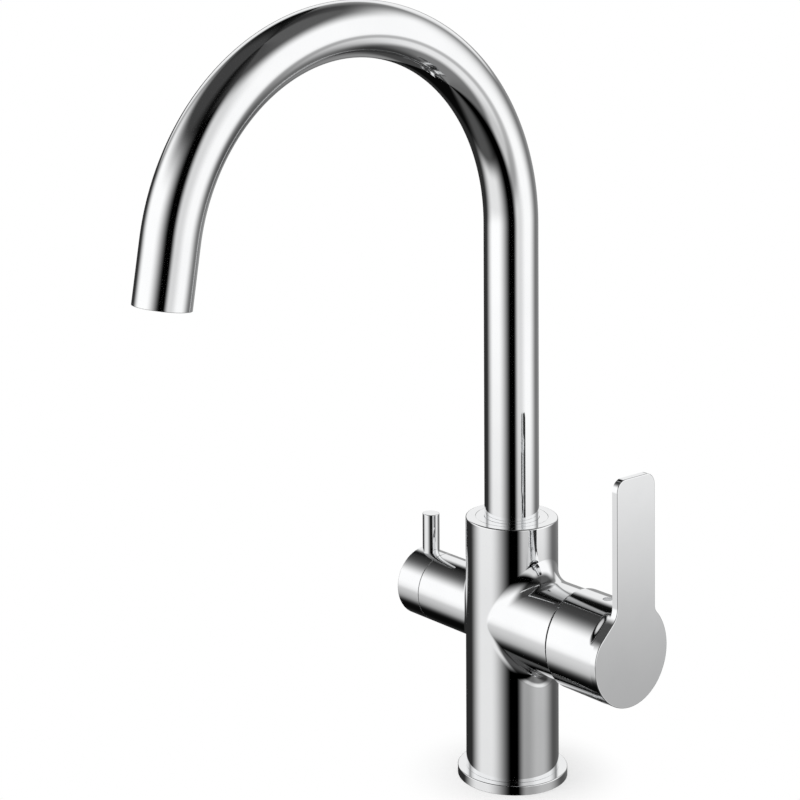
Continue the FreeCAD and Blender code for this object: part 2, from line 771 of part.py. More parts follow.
def disc_slider():
    """Plastic slider on the moving disc: a keyed block with a socket for the ball of the stem."""
    plate = cylinder("slider_plate", "slider_radius", "slider_plate_thickness",
                     (SLIDER, "0", "mixer_height"), "+X")
    height = "slider_top - (%s)" % SLIDER
    block = box("slider_block", (height, "2 * slider_half_width", "2 * slider_half_height"),
                (SLIDER + " + (%s) / 2" % height, "0", "mixer_height"))
    depth = "slider_top - pivot_place + ball_arm + ball_radius + loose_gap"
    socket = cylinder("ball_socket", "ball_radius + running_gap * 2", depth,
                      ("slider_top - (%s)" % depth, "0", "mixer_height"), "+X")
    keep(cut_away("slider_cut", joined("slider_whole", plate, block), socket), "disc_slider")


def cartridge_housing():
    keep(on_mixer_axis(turned("housing", [
        (FIXED_DISC, HOUSING_BORE),
        ("guide_collar_top + loose_gap", HOUSING_BORE),
        ("guide_collar_top + loose_gap", "guide_neck_radius + running_gap"),
        ("housing_neck_end", "guide_neck_radius + running_gap"),
        ("housing_neck_end", "housing_neck_radius"),
        ("housing_shoulder", "housing_neck_radius"),
        ("housing_shoulder", "cartridge_radius"),
        (FIXED_DISC, "cartridge_radius"),
    ], "H_Axis")), "cartridge_housing")


def cartridge_nut():
    """Threaded ring that presses on the housing shoulder, and the dome that hides it."""
    keep(on_mixer_axis(ring("nut", "housing_neck_radius + loose_gap", "cartridge_bore", "housing_shoulder",
                            "nut_end", "H_Axis")), "cartridge_nut")
    keep(on_mixer_axis(dome_cover()), "dome_cover")


def dome_cover():
    inner = "(dome_radius - dome_wall)"
    rim = "(mixer_end - pivot_place)"
    return turned("dome", [
        ("nut_end", "cartridge_bore - seat_gap - dome_wall"),
        ("mixer_end + dome_wall", "cartridge_bore - seat_gap - dome_wall"),
        ("mixer_end + dome_wall", "sqrt(%s ^ 2 - (%s + dome_wall) ^ 2)" % (inner, rim), inner, 1),
        ("pivot_place + sqrt(%s ^ 2 - dome_opening ^ 2)" % inner, "dome_opening"),
        ("pivot_place + sqrt(dome_radius ^ 2 - dome_opening ^ 2)", "dome_opening", "dome_radius", 1),
        ("mixer_end", "sqrt(dome_radius ^ 2 - %s ^ 2)" % rim),
        ("mixer_end", "cartridge_bore - seat_gap"),
        ("nut_end", "cartridge_bore - seat_gap"),
    ], "H_Axis")


def turning_guide():
    """Turns with the lever about the branch axis and keeps the stem and the slider in line."""
    whole = turned("guide", [
        (GUIDE, "0"),
        ("guide_end", "0"),
        ("guide_end", "guide_neck_radius"),
        ("guide_collar_top", "guide_neck_radius"),
        ("guide_collar_top", HOUSING_BORE + " - loose_gap"),
        (GUIDE, HOUSING_BORE + " - loose_gap"),
    ], "H_Axis")
    on_mixer_axis(whole)
    keyway = "guide_collar_top - (%s) + loose_gap" % GUIDE
    slot = box("slider_way", (keyway, "2 * slider_half_width + loose_gap", "2 * cartridge_radius"),
               ("%s + (%s) / 2" % (GUIDE, keyway), "0", "mixer_height"))
    stem_slot = box("stem_way", ("guide_end - (%s)" % GUIDE, "2 * stem_half_width + 2 * loose_gap",
                                 "2 * stem_slot_half_height"),
                    ("%s + (guide_end - (%s)) / 2" % (GUIDE, GUIDE), "0", "mixer_height"))
    hole = cylinder("guide_pin_hole", "pivot_radius", "4 * pivot_half_length",
                    ("pivot_place", "-2 * pivot_half_length", "mixer_height"), "+Y")
    keep(cut_away("guide_cut", whole, slot, stem_slot, hole), "turning_guide")
    keep(cylinder("hinge_pin", "pivot_radius", "2 * pivot_half_length",
                  ("pivot_place", "-pivot_half_length", "mixer_height"), "+Y"), "hinge_pin")


def stem():
    """Square stem with a pin hole, a neck and the ball that moves the slider."""
    length = "stem_end - stem_shoulder"
    bar = box("stem_bar", (length, "2 * stem_half_width", "2 * stem_half_width"),
              ("stem_shoulder + (%s) / 2" % length, "0", "mixer_height"))
    neck = cylinder("stem_neck", "stem_neck_radius",
                    "stem_shoulder - pivot_place + ball_arm + stem_neck_radius",
                    ("pivot_place - ball_arm", "0", "mixer_height"), "+X")
    ball = document.addObject("Part::Sphere", "stem_ball")
    bind(ball, "Radius", "ball_radius")
    place(ball, ("pivot_place - ball_arm", "0", "mixer_height"))
    hole = cylinder("stem_pin_hole", "pivot_radius + running_gap", "4 * stem_half_width",
                    ("pivot_place", "-2 * stem_half_width", "mixer_height"), "+Y")
    keep(cut_away("stem_cut", joined("stem_whole", bar, neck, ball), hole), "lever_stem")


# --- lever ---

PLATE_BACK = "(lever_face - plate_thickness)"
CHEEK_ACROSS = "(plate_radius - cheek_radius + cheek_radius * cos(neck_sweep))"
CHEEK_UP = "(plate_rise + cheek_radius * sin(neck_sweep))"
NECK_ACROSS = "(blade_front + neck_radius * (1 - cos(neck_sweep)))"
NECK_UP = "(%s + (%s - %s) / tan(neck_sweep))" % (CHEEK_UP, CHEEK_ACROSS, NECK_ACROSS)
NECK_START = "(%s + neck_radius * sin(neck_sweep))" % NECK_UP
SHOULDER_REACH = "(plate_radius + shoulder_fillet)"
SHOULDER_ACROSS = "(blade_rear + shoulder_fillet)"
SHOULDER_UP = "sqrt(%s ^ 2 - %s ^ 2)" % (SHOULDER_REACH, SHOULDER_ACROSS)

FRONT_SHOULDER = [
    ("-blade_front", NECK_START, "neck_radius", -1),
    ("-" + NECK_ACROSS, NECK_UP),
    ("-" + CHEEK_ACROSS, CHEEK_UP, "cheek_radius", 1),
    ("-plate_radius", "plate_rise"),
]


def draw_plate(sketch):
    """Round plate with the upright blade: a tight shoulder behind, a long hollow one in front."""
    across = "%s * plate_radius / %s" % (SHOULDER_ACROSS, SHOULDER_REACH)
    up = "plate_rise + %s * plate_radius / %s" % (SHOULDER_UP, SHOULDER_REACH)
    round_side = [
        (corner[0], corner[1], "plate_radius", 1)
        for corner in (("-plate_radius", "plate_rise"), ("0", "plate_rise - plate_radius"),
                       ("plate_radius", "plate_rise"))
    ]
    draw_line(sketch, [
        (across, up, "shoulder_fillet", -1),
        ("blade_rear", "plate_rise + " + SHOULDER_UP),
        ("blade_rear", "blade_top - blade_corner", "blade_corner", 1),
        ("blade_rear - blade_corner", "blade_top"),
        ("blade_corner - blade_front", "blade_top", "blade_corner", 1),
        ("-blade_front", "blade_top - blade_corner"),
        *FRONT_SHOULDER[:-1],
        *round_side,
    ])


def draw_shaving(sketch):
    """What is shaved off the skirt beside the hollow shoulder."""
    draw_line(sketch, [
        *FRONT_SHOULDER,
        ("-plate_radius - cheek_radius", "plate_rise"),
        ("-plate_radius - cheek_radius", NECK_START),
    ])


def lever_plate():
    body = new_body("plate")
    padded(body, "YZ_Plane", "plate_pad", "plate_thickness", draw_plate)
    document.recompute()
    edges = flat_edges(body.Tip.Shape, FreeCAD.Vector(1, 0, 0), value("plate_thickness"))
    fillet(body, "plate_rounding", edges, "plate_edge")
    return place(body, (PLATE_BACK, "0", "mixer_height"))


def lever_skirt():
    """Deep cup over the end of the branch; its wall is thin at the rim, where it passes the branch."""
    floor = PLATE_BACK + " - skirt_taper_length"
    return on_mixer_axis(turned("skirt", [
        ("mixer_end + skirt_gap", "skirt_radius - skirt_rim_wall"),
        ("mixer_end + skirt_gap + skirt_taper_length", "skirt_radius - skirt_wall"),
        (floor, "skirt_radius - skirt_wall"),
        (floor, "0"),
        (PLATE_BACK + " + plate_edge", "0"),
        (PLATE_BACK + " + plate_edge", "skirt_radius"),
        ("mixer_end + skirt_gap", "skirt_radius"),
    ], "H_Axis"))


def lever_handle():
    shaving = new_body("shaving")
    padded(shaving, "YZ_Plane", "shaving_pad", "skirt_taper_length + plate_thickness", draw_shaving)
    place(shaving, (PLATE_BACK + " - skirt_taper_length", "0", "mixer_height"))
    shaved = cut_away("shaved_skirt", lever_skirt(), shaving)
    boss = cylinder("lever_boss", "lever_boss_radius", "%s - lever_boss_start" % PLATE_BACK,
                    ("lever_boss_start", "0", "mixer_height"), "+X")
    screw_boss = cylinder("screw_boss", "screw_boss_radius", "skirt_radius - skirt_wall / 2",
                          ("screw_place", "0", "mixer_height"))
    core = cut_away("screw_boss_trim", screw_boss,
                    box("stem_room", ("4 * screw_boss_radius", "4 * stem_half_width", "4 * stem_half_width"),
                        ("screw_place", "0", "mixer_height")))
    whole = joined("lever_whole", shaved, lever_plate(), boss, core)
    length = "stem_end - lever_boss_start + loose_gap"
    width = "2 * stem_half_width + 2 * seat_gap"
    socket = box("stem_socket", (length, width, width),
                 ("lever_boss_start + (%s) / 2" % length, "0", "mixer_height"))
    hole = drill("screw_hole", "screw_radius + seat_gap", "skirt_radius",
                 ("screw_place", "0", "mixer_height"))
    keep(cut_away("lever_cut", whole, socket, hole), "lever_handle")


def hex_socket(name, across_flats, depth, at, along):
    item = document.addObject("Part::Prism", name)
    item.Polygon = 6
    bind(item, "Circumradius", "(%s) / 2 / cos(30)" % across_flats)
    bind(item, "Height", depth)
    return place(item, at, TURNS[along])


def lever_screw():
    """Grub screw on the stem, and the plug that closes its hole in the skirt."""
    start = "mixer_height + stem_half_width"
    screw = cylinder("screw_rod", "screw_radius", "screw_length", ("screw_place", "0", start))
    key = hex_socket("screw_key", "screw_radius", "screw_radius",
                     ("screw_place", "0", "%s + screw_length - screw_radius" % start), "+Z")
    keep(cut_away("screw_cut", screw, key), "lever_grub_screw")
    plug_place = ("screw_place", "0", "mixer_height + skirt_radius - loose_gap - plug_length")
    keep(cylinder("plug", "screw_radius", "plug_length", plug_place), "index_plug")


# --- filter headwork, drawn along X and turned to face -X ---

FILTER_DISC = "headwork_floor + seat_seal_thickness"
TURNING_DISC = FILTER_DISC + " + filter_disc_thickness + face_gap"
SPINDLE_HEAD = TURNING_DISC + " + filter_disc_thickness + face_gap"
CHAMBER_END = SPINDLE_HEAD + " + spindle_head_thickness + loose_gap"
NECK_END = "(filter_end + headwork_neck_length)"
CLIP_START = "(filter_end + headwork_neck_length + loose_gap)"


SPINDLE_RING = "(headwork_shoulder - groove_width)"


def headwork_body():
    bore = "spindle_radius + running_gap"
    groove_floor = "headwork_bore - 2 * riser_ring_cord - seat_gap"
    whole = turned("headwork", [
        (FILTER_DISC, "headwork_chamber_radius"),
        (CHAMBER_END, "headwork_chamber_radius"),
        (CHAMBER_END, bore),
        (NECK_END, bore),
        (NECK_END, "headwork_neck_radius"),
        ("headwork_shoulder", "headwork_neck_radius"),
        ("headwork_shoulder", groove_floor),
        ("headwork_shoulder - groove_width", groove_floor),
        ("headwork_shoulder - groove_width", "headwork_bore"),
        ("headwork_thread_start", "headwork_bore"),
        ("headwork_thread_start", "headwork_nose_radius"),
        (FILTER_DISC, "headwork_nose_radius"),
    ], "H_Axis")
    on_filter_axis(whole)
    window = box("headwork_window",
                 ("spindle_head_thickness", "headwork_chamber_radius", "4 * headwork_bore"),
                 ("-(%s + spindle_head_thickness / 2)" % SPINDLE_HEAD, "0", "filter_height"))
    keep(cut_away("headwork_cut", whole, window), "headwork_body")


def headwork_seals():
    keep(on_filter_axis(ring("seat_ring", "seat_port_radius + loose_gap",
                             "headwork_chamber_radius - loose_gap",
                             "headwork_floor", FILTER_DISC, "H_Axis")), "seat_seal")
    keep(round_ring("headwork_ring", "headwork_bore - riser_ring_cord - seat_gap / 2", "riser_ring_cord",
                    ("-(headwork_shoulder - riser_ring_cord)", "0", "filter_height"), "-X"),
         "headwork_o_ring")
    keep(round_ring("spindle_ring", "spindle_radius + running_gap / 2 - riser_ring_cord", "riser_ring_cord",
                    ("-" + SPINDLE_RING, "0", "filter_height"), "-X"), "spindle_o_ring")


def filter_discs():
    """Two ceramic discs, each with two openings across from each other."""
    for name, start, upright in (("fixed", FILTER_DISC, False), ("turning", TURNING_DISC, True)):
        disc = cylinder(name + "_filter_plate", "headwork_chamber_radius - face_gap", "filter_disc_thickness",
                        ("-(%s)" % start, "0", "filter_height"), "-X")
        ports = []
        for number, sign in enumerate(("", "-"), start=1):
            offset = sign + "headwork_chamber_radius / 2"
            middle = ("0", "filter_height + (%s)" % offset) if upright else (offset, "filter_height")
            ports.append(cylinder("%s_filter_port_%d" % (name, number), "filter_port_radius",
                                  "filter_disc_thickness", ("-(%s)" % start, *middle), "-X"))
        keep(cut_away(name + "_filter_cut", disc, *ports), name + "_filter_disc")


def filter_spindle():
    ring_floor = "spindle_radius + running_gap / 2 - 2 * riser_ring_cord"
    keep(on_filter_axis(turned("spindle", [
        (SPINDLE_HEAD, "0"),
        ("spindle_end", "0"),
        ("spindle_end", "spindle_radius"),
        (CLIP_START + " + clip_thickness", "spindle_radius"),
        (CLIP_START + " + clip_thickness", "spindle_radius - clip_thickness"),
        (CLIP_START, "spindle_radius - clip_thickness"),
        (CLIP_START, "spindle_radius"),
        (SPINDLE_RING + " + riser_ring_cord", "spindle_radius"),
        (SPINDLE_RING + " + riser_ring_cord", ring_floor),
        (SPINDLE_RING + " - riser_ring_cord", ring_floor),
        (SPINDLE_RING + " - riser_ring_cord", "spindle_radius"),
        (SPINDLE_HEAD + " + spindle_head_thickness", "spindle_radius"),
        (SPINDLE_HEAD + " + spindle_head_thickness", "headwork_chamber_radius - loose_gap"),
        (SPINDLE_HEAD, "headwork_chamber_radius - loose_gap"),
    ], "H_Axis")), "filter_spindle")
    keep(on_filter_axis(ring("clip", "spindle_radius - clip_thickness", "clip_radius", CLIP_START,
                             CLIP_START + " + clip_thickness", "H_Axis")), "spindle_clip")


# --- filter knob ---


def filter_knob():
    """Knob over the end of the branch, bored for the spindle, the pin and its grub screw."""
    start = "(filter_end + knob_gap)"
    floor = "(filter_end + knob_gap + knob_hollow_depth)"
    whole = turned("knob", [
        (start, "knob_hollow_radius"),
        (floor, "knob_hollow_radius"),
        (floor, "0"),
        ("knob_end", "0"),
        ("knob_end", "filter_radius - knob_edge"),
        ("knob_end - knob_edge", "filter_radius"),
        (start, "filter_radius"),
    ], "H_Axis")
    on_filter_axis(whole)
    at = ("-pin_place", "0")
    tools = [
        cylinder("spindle_hole", "spindle_radius + seat_gap", "spindle_end - filter_end + loose_gap",
                 ("-filter_end", "0", "filter_height"), "-X"),
        drill("pin_hole", "pin_radius", "filter_radius - pin_seat", (*at, "filter_height + pin_seat")),
        drill("shank_hole", "pin_shank_radius", "pin_shank_length",
              (*at, "filter_height + pin_seat - pin_shank_length")),
        drill("knob_screw_hole", "knob_screw_radius", "filter_radius", (*at, "filter_height"), "-Z"),
    ]
    keep(cut_away("knob_cut", whole, *tools), "filter_knob")


def knob_pin():
    keep(place(turned("pin", [
        ("0", "pin_seat - pin_shank_length"),
        ("pin_shank_radius", "pin_seat - pin_shank_length"),
        ("pin_shank_radius", "pin_seat"),
        ("pin_radius", "pin_seat"),
        ("pin_radius", "pin_top - pin_edge", "pin_edge", 1),
        ("pin_radius - pin_edge", "pin_top"),
        ("0", "pin_top"),
    ]), ("-pin_place", "0", "filter_height")), "knob_pin")
    rod = cylinder("knob_screw_rod", "knob_screw_radius", "knob_screw_length",
                   ("-pin_place", "0", "filter_height - spindle_radius"), "-Z")
    key = hex_socket("knob_screw_key", "knob_screw_radius", "knob_screw_radius",
                     ("-pin_place", "0",
                      "filter_height - spindle_radius - knob_screw_length + knob_screw_radius"), "-Z")
    keep(cut_away("knob_screw_cut", rod, key), "knob_grub_screw")


MAKERS = (
    tap_body, base_flange, swivel_rings, filter_riser, spout_foot, swivel_seals, spout_tube,
    inner_filter_pipe, aerator, cartridge_base, port_seals, mixer_discs, disc_slider, cartridge_housing,
    cartridge_nut, turning_guide, stem, lever_handle, lever_screw, headwork_body, headwork_seals,
    filter_discs, filter_spindle, filter_knob, knob_pin,
)


def check_document():
    """Stops if any object failed or any sub-part is empty or broken."""
    for item in document.Objects:
        if "Invalid" in item.State or "Error" in item.State:
            raise RuntimeError("%s failed: %s" % (item.Name, item.State))
    for item in SUBPARTS:
        if item.Shape.isNull() or not item.Shape.isValid() or not item.Shape.Solids:
            raise RuntimeError("%s is not a valid solid" % item.Label)


def check_pipe(name, radius, bore, start, shortfall):
    """Compares a bent pipe's volume with its section times its length."""
    length = value("arc_start - (%s) + outlet_straight - (%s)" % (start, shortfall))
    length += value("arc_radius") * math.radians(value("arc_sweep"))
    section = math.pi * (value(radius) ** 2 - value(bore) ** 2)
    shape = [item for item in SUBPARTS if item.Label == name][0].Shape
    print("%s is %.1f mm long, volume ratio %.5f" % (name, length, shape.Volume / section / length))


def main():
    for make in MAKERS:
        make()
    document.recompute()
    check_document()
    check_pipe("spout_tube", "tube_radius", "tube_radius - tube_wall", FLANGE_TOP, "0")
    os.makedirs("parts", exist_ok=True)
    for item in SUBPARTS:
        item.Shape.exportStep("parts/%s.step" % item.Label)
        print("%-20s %d solids %9.2f mm3" % (item.Label, len(item.Shape.Solids), item.Shape.Volume))


main()
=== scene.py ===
"""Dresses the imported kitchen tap: polished chrome skins, drilled outlet, seals, stage, light and camera."""

import json
import logging
import math
from dataclasses import dataclass
from enum import Enum
from typing import Any, Callable, Sequence

import bpy
import numpy as np
from mathutils import Matrix, Vector, geometry

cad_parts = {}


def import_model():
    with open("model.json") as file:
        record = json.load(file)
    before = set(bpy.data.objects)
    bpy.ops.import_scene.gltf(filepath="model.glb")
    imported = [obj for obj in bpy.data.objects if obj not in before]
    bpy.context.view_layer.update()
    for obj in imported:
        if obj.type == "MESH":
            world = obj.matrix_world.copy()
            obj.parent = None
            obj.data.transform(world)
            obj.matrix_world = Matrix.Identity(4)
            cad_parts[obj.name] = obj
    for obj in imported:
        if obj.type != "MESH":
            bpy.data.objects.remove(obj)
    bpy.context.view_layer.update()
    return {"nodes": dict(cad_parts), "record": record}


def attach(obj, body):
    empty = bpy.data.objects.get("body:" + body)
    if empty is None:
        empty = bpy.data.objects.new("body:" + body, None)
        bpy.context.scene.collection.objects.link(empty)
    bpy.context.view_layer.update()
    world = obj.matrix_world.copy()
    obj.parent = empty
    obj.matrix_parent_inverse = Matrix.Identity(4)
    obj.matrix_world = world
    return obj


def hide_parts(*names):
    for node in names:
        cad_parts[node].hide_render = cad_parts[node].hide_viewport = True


logging.basicConfig(level=logging.INFO, format="%(message)s")
LOG = logging.getLogger("kitchen_tap")

MM = 0.001
Array = np.ndarray
Corners = Sequence[tuple[float, ...]]
Step = tuple[float, float, float]


# --- node trees ---

LIP_STEPS = 3
LIP_ANGLE = 50  # degrees; a sharper edge than this is rounded


class Wire:
    """A socket of a node tree with Python operators, which add Math nodes."""

    def __init__(self, tree: "NodeBench", socket: bpy.types.NodeSocket) -> None:
        """Keeps the socket and the tree that it belongs to."""
        self.tree = tree
        self.socket = socket

    def _math(self, operation: str, *values: Any) -> "Wire":
        """Adds one Math node.

        Args:
            operation: The node's operation.
            values: Its inputs in order.

        Returns:
            The node's result.
        """
        return self.tree.add("ShaderNodeMath", dict(enumerate(values)), operation=operation)

    def __add__(self, other: Any) -> "Wire":
        """Sum."""
        return self._math("ADD", self, other)

    __radd__ = __add__

    def __sub__(self, other: Any) -> "Wire":
        """Difference."""
        return self._math("SUBTRACT", self, other)

    def __rsub__(self, other: Any) -> "Wire":
        """Difference with the sides swapped."""
        return self._math("SUBTRACT", other, self)

    def __mul__(self, other: Any) -> "Wire":
        """Product."""
        return self._math("MULTIPLY", self, other)

    __rmul__ = __mul__

    def __truediv__(self, other: Any) -> "Wire":
        """Quotient."""
        return self._math("DIVIDE", self, other)

    def __rtruediv__(self, other: Any) -> "Wire":
        """Quotient with the sides swapped."""
        return self._math("DIVIDE", other, self)

    def __gt__(self, other: Any) -> "Wire":
        """One where this is the greater, else nought."""
        return self._math("GREATER_THAN", self, other)

    def __lt__(self, other: Any) -> "Wire":
        """One where this is the lesser, else nought."""
        return self._math("LESS_THAN", self, other)

    def low(self, other: Any) -> "Wire":
        """The lesser of the two."""
        return self._math("MINIMUM", self, other)

    def high(self, other: Any) -> "Wire":
        """The greater of the two."""
        return self._math("MAXIMUM", self, other)

    def floor(self) -> "Wire":
        """Rounded down."""
        return self._math("FLOOR", self)

    def sin(self) -> "Wire":
        """Sine."""
        return self._math("SINE", self)

    def cos(self) -> "Wire":
        """Cosine."""
        return self._math("COSINE", self)

    def asin(self) -> "Wire":
        """Angle of a sine."""
        return self._math("ARCSINE", self)

    def angle_from(self, other: Any) -> "Wire":
        """Angle of the point (other, self)."""
        return self._math("ARCTAN2", self, other)

    def grown(self, *steps: Step) -> "Wire":
        """Sum of smooth steps.

        Args:
            steps: Start, end and size of each.

        Returns:
            The sum.
        """
        first, *rest = steps
        total = self.ease(*first[:2]) * first[2]
        for start, end, size in rest:
            total = total + self.ease(start, end) * size
        return total

    def faded(self, *steps: Step) -> "Wire":
        """What smooth steps leave of one.

        Args:
            steps: Start, end and share taken by each.

        Returns:
            The product of what each leaves.
        """
        first, *rest = steps
        left = 1 - self.ease(*first[:2]) * first[2]
        for start, end, share in rest:
            left = left * (1 - self.ease(start, end) * share)
        return left

    def ease(self, start: float, end: float) -> "Wire":
        """Smooth step from nought at start to one at end; start may be the greater.

        Args:
            start: Value at which the step begins.
            end: Value at which it is done.

        Returns:
            The step.
        """
        low, high = min(start, end), max(start, end)
        step = self.tree.add(
            "ShaderNodeMapRange", {0: self, 1: low, 2: high, 3: 0.0, 4: 1.0}, interpolation_type="SMOOTHSTEP"
        )
        return step if start < end else 1 - step


class NodeBench:
    """A node tree, and the one method that adds any node to it."""

    def __init__(self, tree: bpy.types.NodeTree) -> None:
        """Keeps the tree."""
        self.tree = tree

    def add(self, kind: str, inputs: dict[Any, Any] | None = None, output: Any = 0, **settings: Any) -> Wire:
        """Adds a node.

        Args:
            kind: The node's type.
            inputs: Values or wires by the name or number of the input.
            output: Name or number of the output that is wanted.
            settings: The node's own settings, set first.

        Returns:
            The wanted output.
        """
        node = self.tree.nodes.new(kind)
        for name, value in settings.items():
            setattr(node, name, value)
        for name, value in (inputs or {}).items():
            self.join(value, node.inputs[name])
        return Wire(self, node.outputs[output] if node.outputs else None)

    def join(self, value: Any, socket: bpy.types.NodeSocket) -> None:
        """Links a wire to a socket, or sets the socket's own value."""
        if isinstance(value, Wire):
            self.tree.links.new(value.socket, socket)
        else:
            socket.default_value = value

    def vector(self, x: Any = 0.0, y: Any = 0.0, z: Any = 0.0) -> Wire:
        """A vector from three values."""
        return self.add("ShaderNodeCombineXYZ", {0: x, 1: y, 2: z})


class RuleTree(NodeBench):
    """A Geometry Nodes tree with named sizes as its inputs."""

    def __init__(self, name: str, sizes: dict[str, float]) -> None:
        """Makes the tree.

        Args:
            name: Name of the tree.
            sizes: Named inputs and their values for this piece.
        """
        super().__init__(bpy.data.node_groups.new(name, "GeometryNodeTree"))
        self.sizes = sizes
        self.tree.interface.new_socket("Geometry", in_out="OUTPUT", socket_type="NodeSocketGeometry")
        for label in sizes:
            self.tree.interface.new_socket(label, in_out="INPUT", socket_type="NodeSocketFloat")
        self._source = self.tree.nodes.new("NodeGroupInput")

    def size(self, label: str) -> Wire:
        """The named input."""
        return Wire(self, self._source.outputs[label])

    def finish(self, shape: Wire, finish: bpy.types.Material) -> None:
        """Ends the tree with real geometry in a material.

        Args:
            shape: The geometry.
            finish: Its material.
        """
        real = self.add("GeometryNodeRealizeInstances", {"Geometry": shape})
        dressed = self.add("GeometryNodeSetMaterial", {"Geometry": real, "Material": finish})
        sink = self.tree.nodes.new("NodeGroupOutput")
        self.join(dressed, sink.inputs["Geometry"])

    def make(self, name: str, bevel: float = 0.0) -> bpy.types.Object:
        """Runs the tree and keeps its result as a plain mesh.

        Args:
            name: Name of the piece.
            bevel: Width of a rounding along its sharp edges, in metres.

        Returns:
            The piece, with no modifier left.
        """
        host = bpy.data.objects.new(name + "_rule", bpy.data.meshes.new(name + "_rule"))
        bpy.context.scene.collection.objects.link(host)
        rule = host.modifiers.new("rule", "NODES")
        rule.node_group = self.tree
        for item in self.tree.interface.items_tree:
            if item.in_out == "INPUT":
                rule[item.identifier] = self.sizes[item.name]
        if bevel:
            rounding = host.modifiers.new("rounding", "BEVEL")
            rounding.width = bevel
            rounding.segments = LIP_STEPS
            rounding.limit_method = "ANGLE"
            rounding.angle_limit = math.radians(LIP_ANGLE)
            rounding.harden_normals = True
        evaluated = host.evaluated_get(bpy.context.evaluated_depsgraph_get())
        mesh = bpy.data.meshes.new_from_object(evaluated)
        bpy.data.objects.remove(host)
        mesh.name = name
        piece = bpy.data.objects.new(name, mesh)
        bpy.context.scene.collection.objects.link(piece)
        return piece


# --- finishes ---


class Pattern(Enum):
    """The small unevenness that a finish shows."""

    POLISH = "polish"
    TURNED = "turned"
    MOULDED = "moulded"
    GRAIN = "grain"


# node, its sizes, its settings and the output that is read
PATTERN_NODES: dict[Pattern, tuple[str, dict[str, float], dict[str, str], str]] = {
    Pattern.POLISH: ("ShaderNodeTexNoise", {"Scale": 95.0, "Detail": 1.0, "Roughness": 0.4}, {}, "Fac"),
    Pattern.TURNED: ("ShaderNodeTexWave",
                     {"Scale": 900.0, "Distortion": 2.0, "Detail": 2.0, "Detail Scale": 3.0},
                     {"bands_direction": "Z"}, "Fac"),
    Pattern.GRAIN: ("ShaderNodeTexNoise", {"Scale": 4200.0, "Detail": 2.0}, {}, "Fac"),
    Pattern.MOULDED: ("ShaderNodeTexVoronoi", {"Scale": 2200.0, "Smoothness": 1.0}, {"feature": "SMOOTH_F1"},
                      "Distance"),
}
BROAD_NOISE = {"Detail": 3.0, "Roughness": 0.55}
WEAR_START = 0.35
WEAR_END = 0.75
BROAD_SHARE = 0.7
FINE_SHARE = 0.3
FINE_GLOSS_SHARE = 0.6
LEAST_ROUGHNESS = 0.02
COAT_ROUGHNESS = 0.1


@dataclass(frozen=True)
class Finish:
    """One finish of the tap, with its unevenness at real size.

    Colours are linear; lengths are in millimetres.
    """

    name: str
    colour: tuple[float, float, float]
    worn: tuple[float, float, float]
    metallic: float
    roughness: float
    uneven: float
    pattern: Pattern
    patch: float
    relief: float
    coat: float = 0.0

    def material(self) -> bpy.types.Material:
        """Builds the material.

        Returns:
            The material, named after the finish.
        """
        made = bpy.data.materials.new(self.name)
        made.use_nodes = True
        made.node_tree.nodes.clear()
        bench = NodeBench(made.node_tree)
        place = bench.add("ShaderNodeTexCoord", output="Object")
        broad = bench.add("ShaderNodeTexNoise",
                          {"Vector": place, "Scale": 1 / MM / self.patch, **BROAD_NOISE})
        kind, sizes, settings, output = PATTERN_NODES[self.pattern]
        fine = bench.add(kind, {"Vector": place, **sizes}, output, **settings)
        worn = broad.ease(WEAR_START, WEAR_END) * BROAD_SHARE + fine * FINE_SHARE
        colour = bench.add("ShaderNodeMix", {0: worn, 6: (*self.colour, 1.0), 7: (*self.worn, 1.0)}, output=2,
                           data_type="RGBA")
        rough = self.roughness + (broad - 0.5) * self.uneven + (fine - 0.5) * (self.uneven * FINE_GLOSS_SHARE)
        bump = bench.add("ShaderNodeBump", {"Strength": 1.0, "Distance": self.relief * MM, "Height": fine})
        shader = bench.tree.nodes.new("ShaderNodeBsdfPrincipled")
        bench.join(colour, shader.inputs["Base Color"])
        bench.join(rough.high(LEAST_ROUGHNESS), shader.inputs["Roughness"])
        bench.join(bump, shader.inputs["Normal"])
        shader.inputs["Metallic"].default_value = self.metallic
        shader.inputs["Coat Weight"].default_value = self.coat
        shader.inputs["Coat Roughness"].default_value = COAT_ROUGHNESS
        sink = bench.tree.nodes.new("ShaderNodeOutputMaterial")
        bench.join(Wire(bench, shader.outputs[0]), sink.inputs["Surface"])
        return made


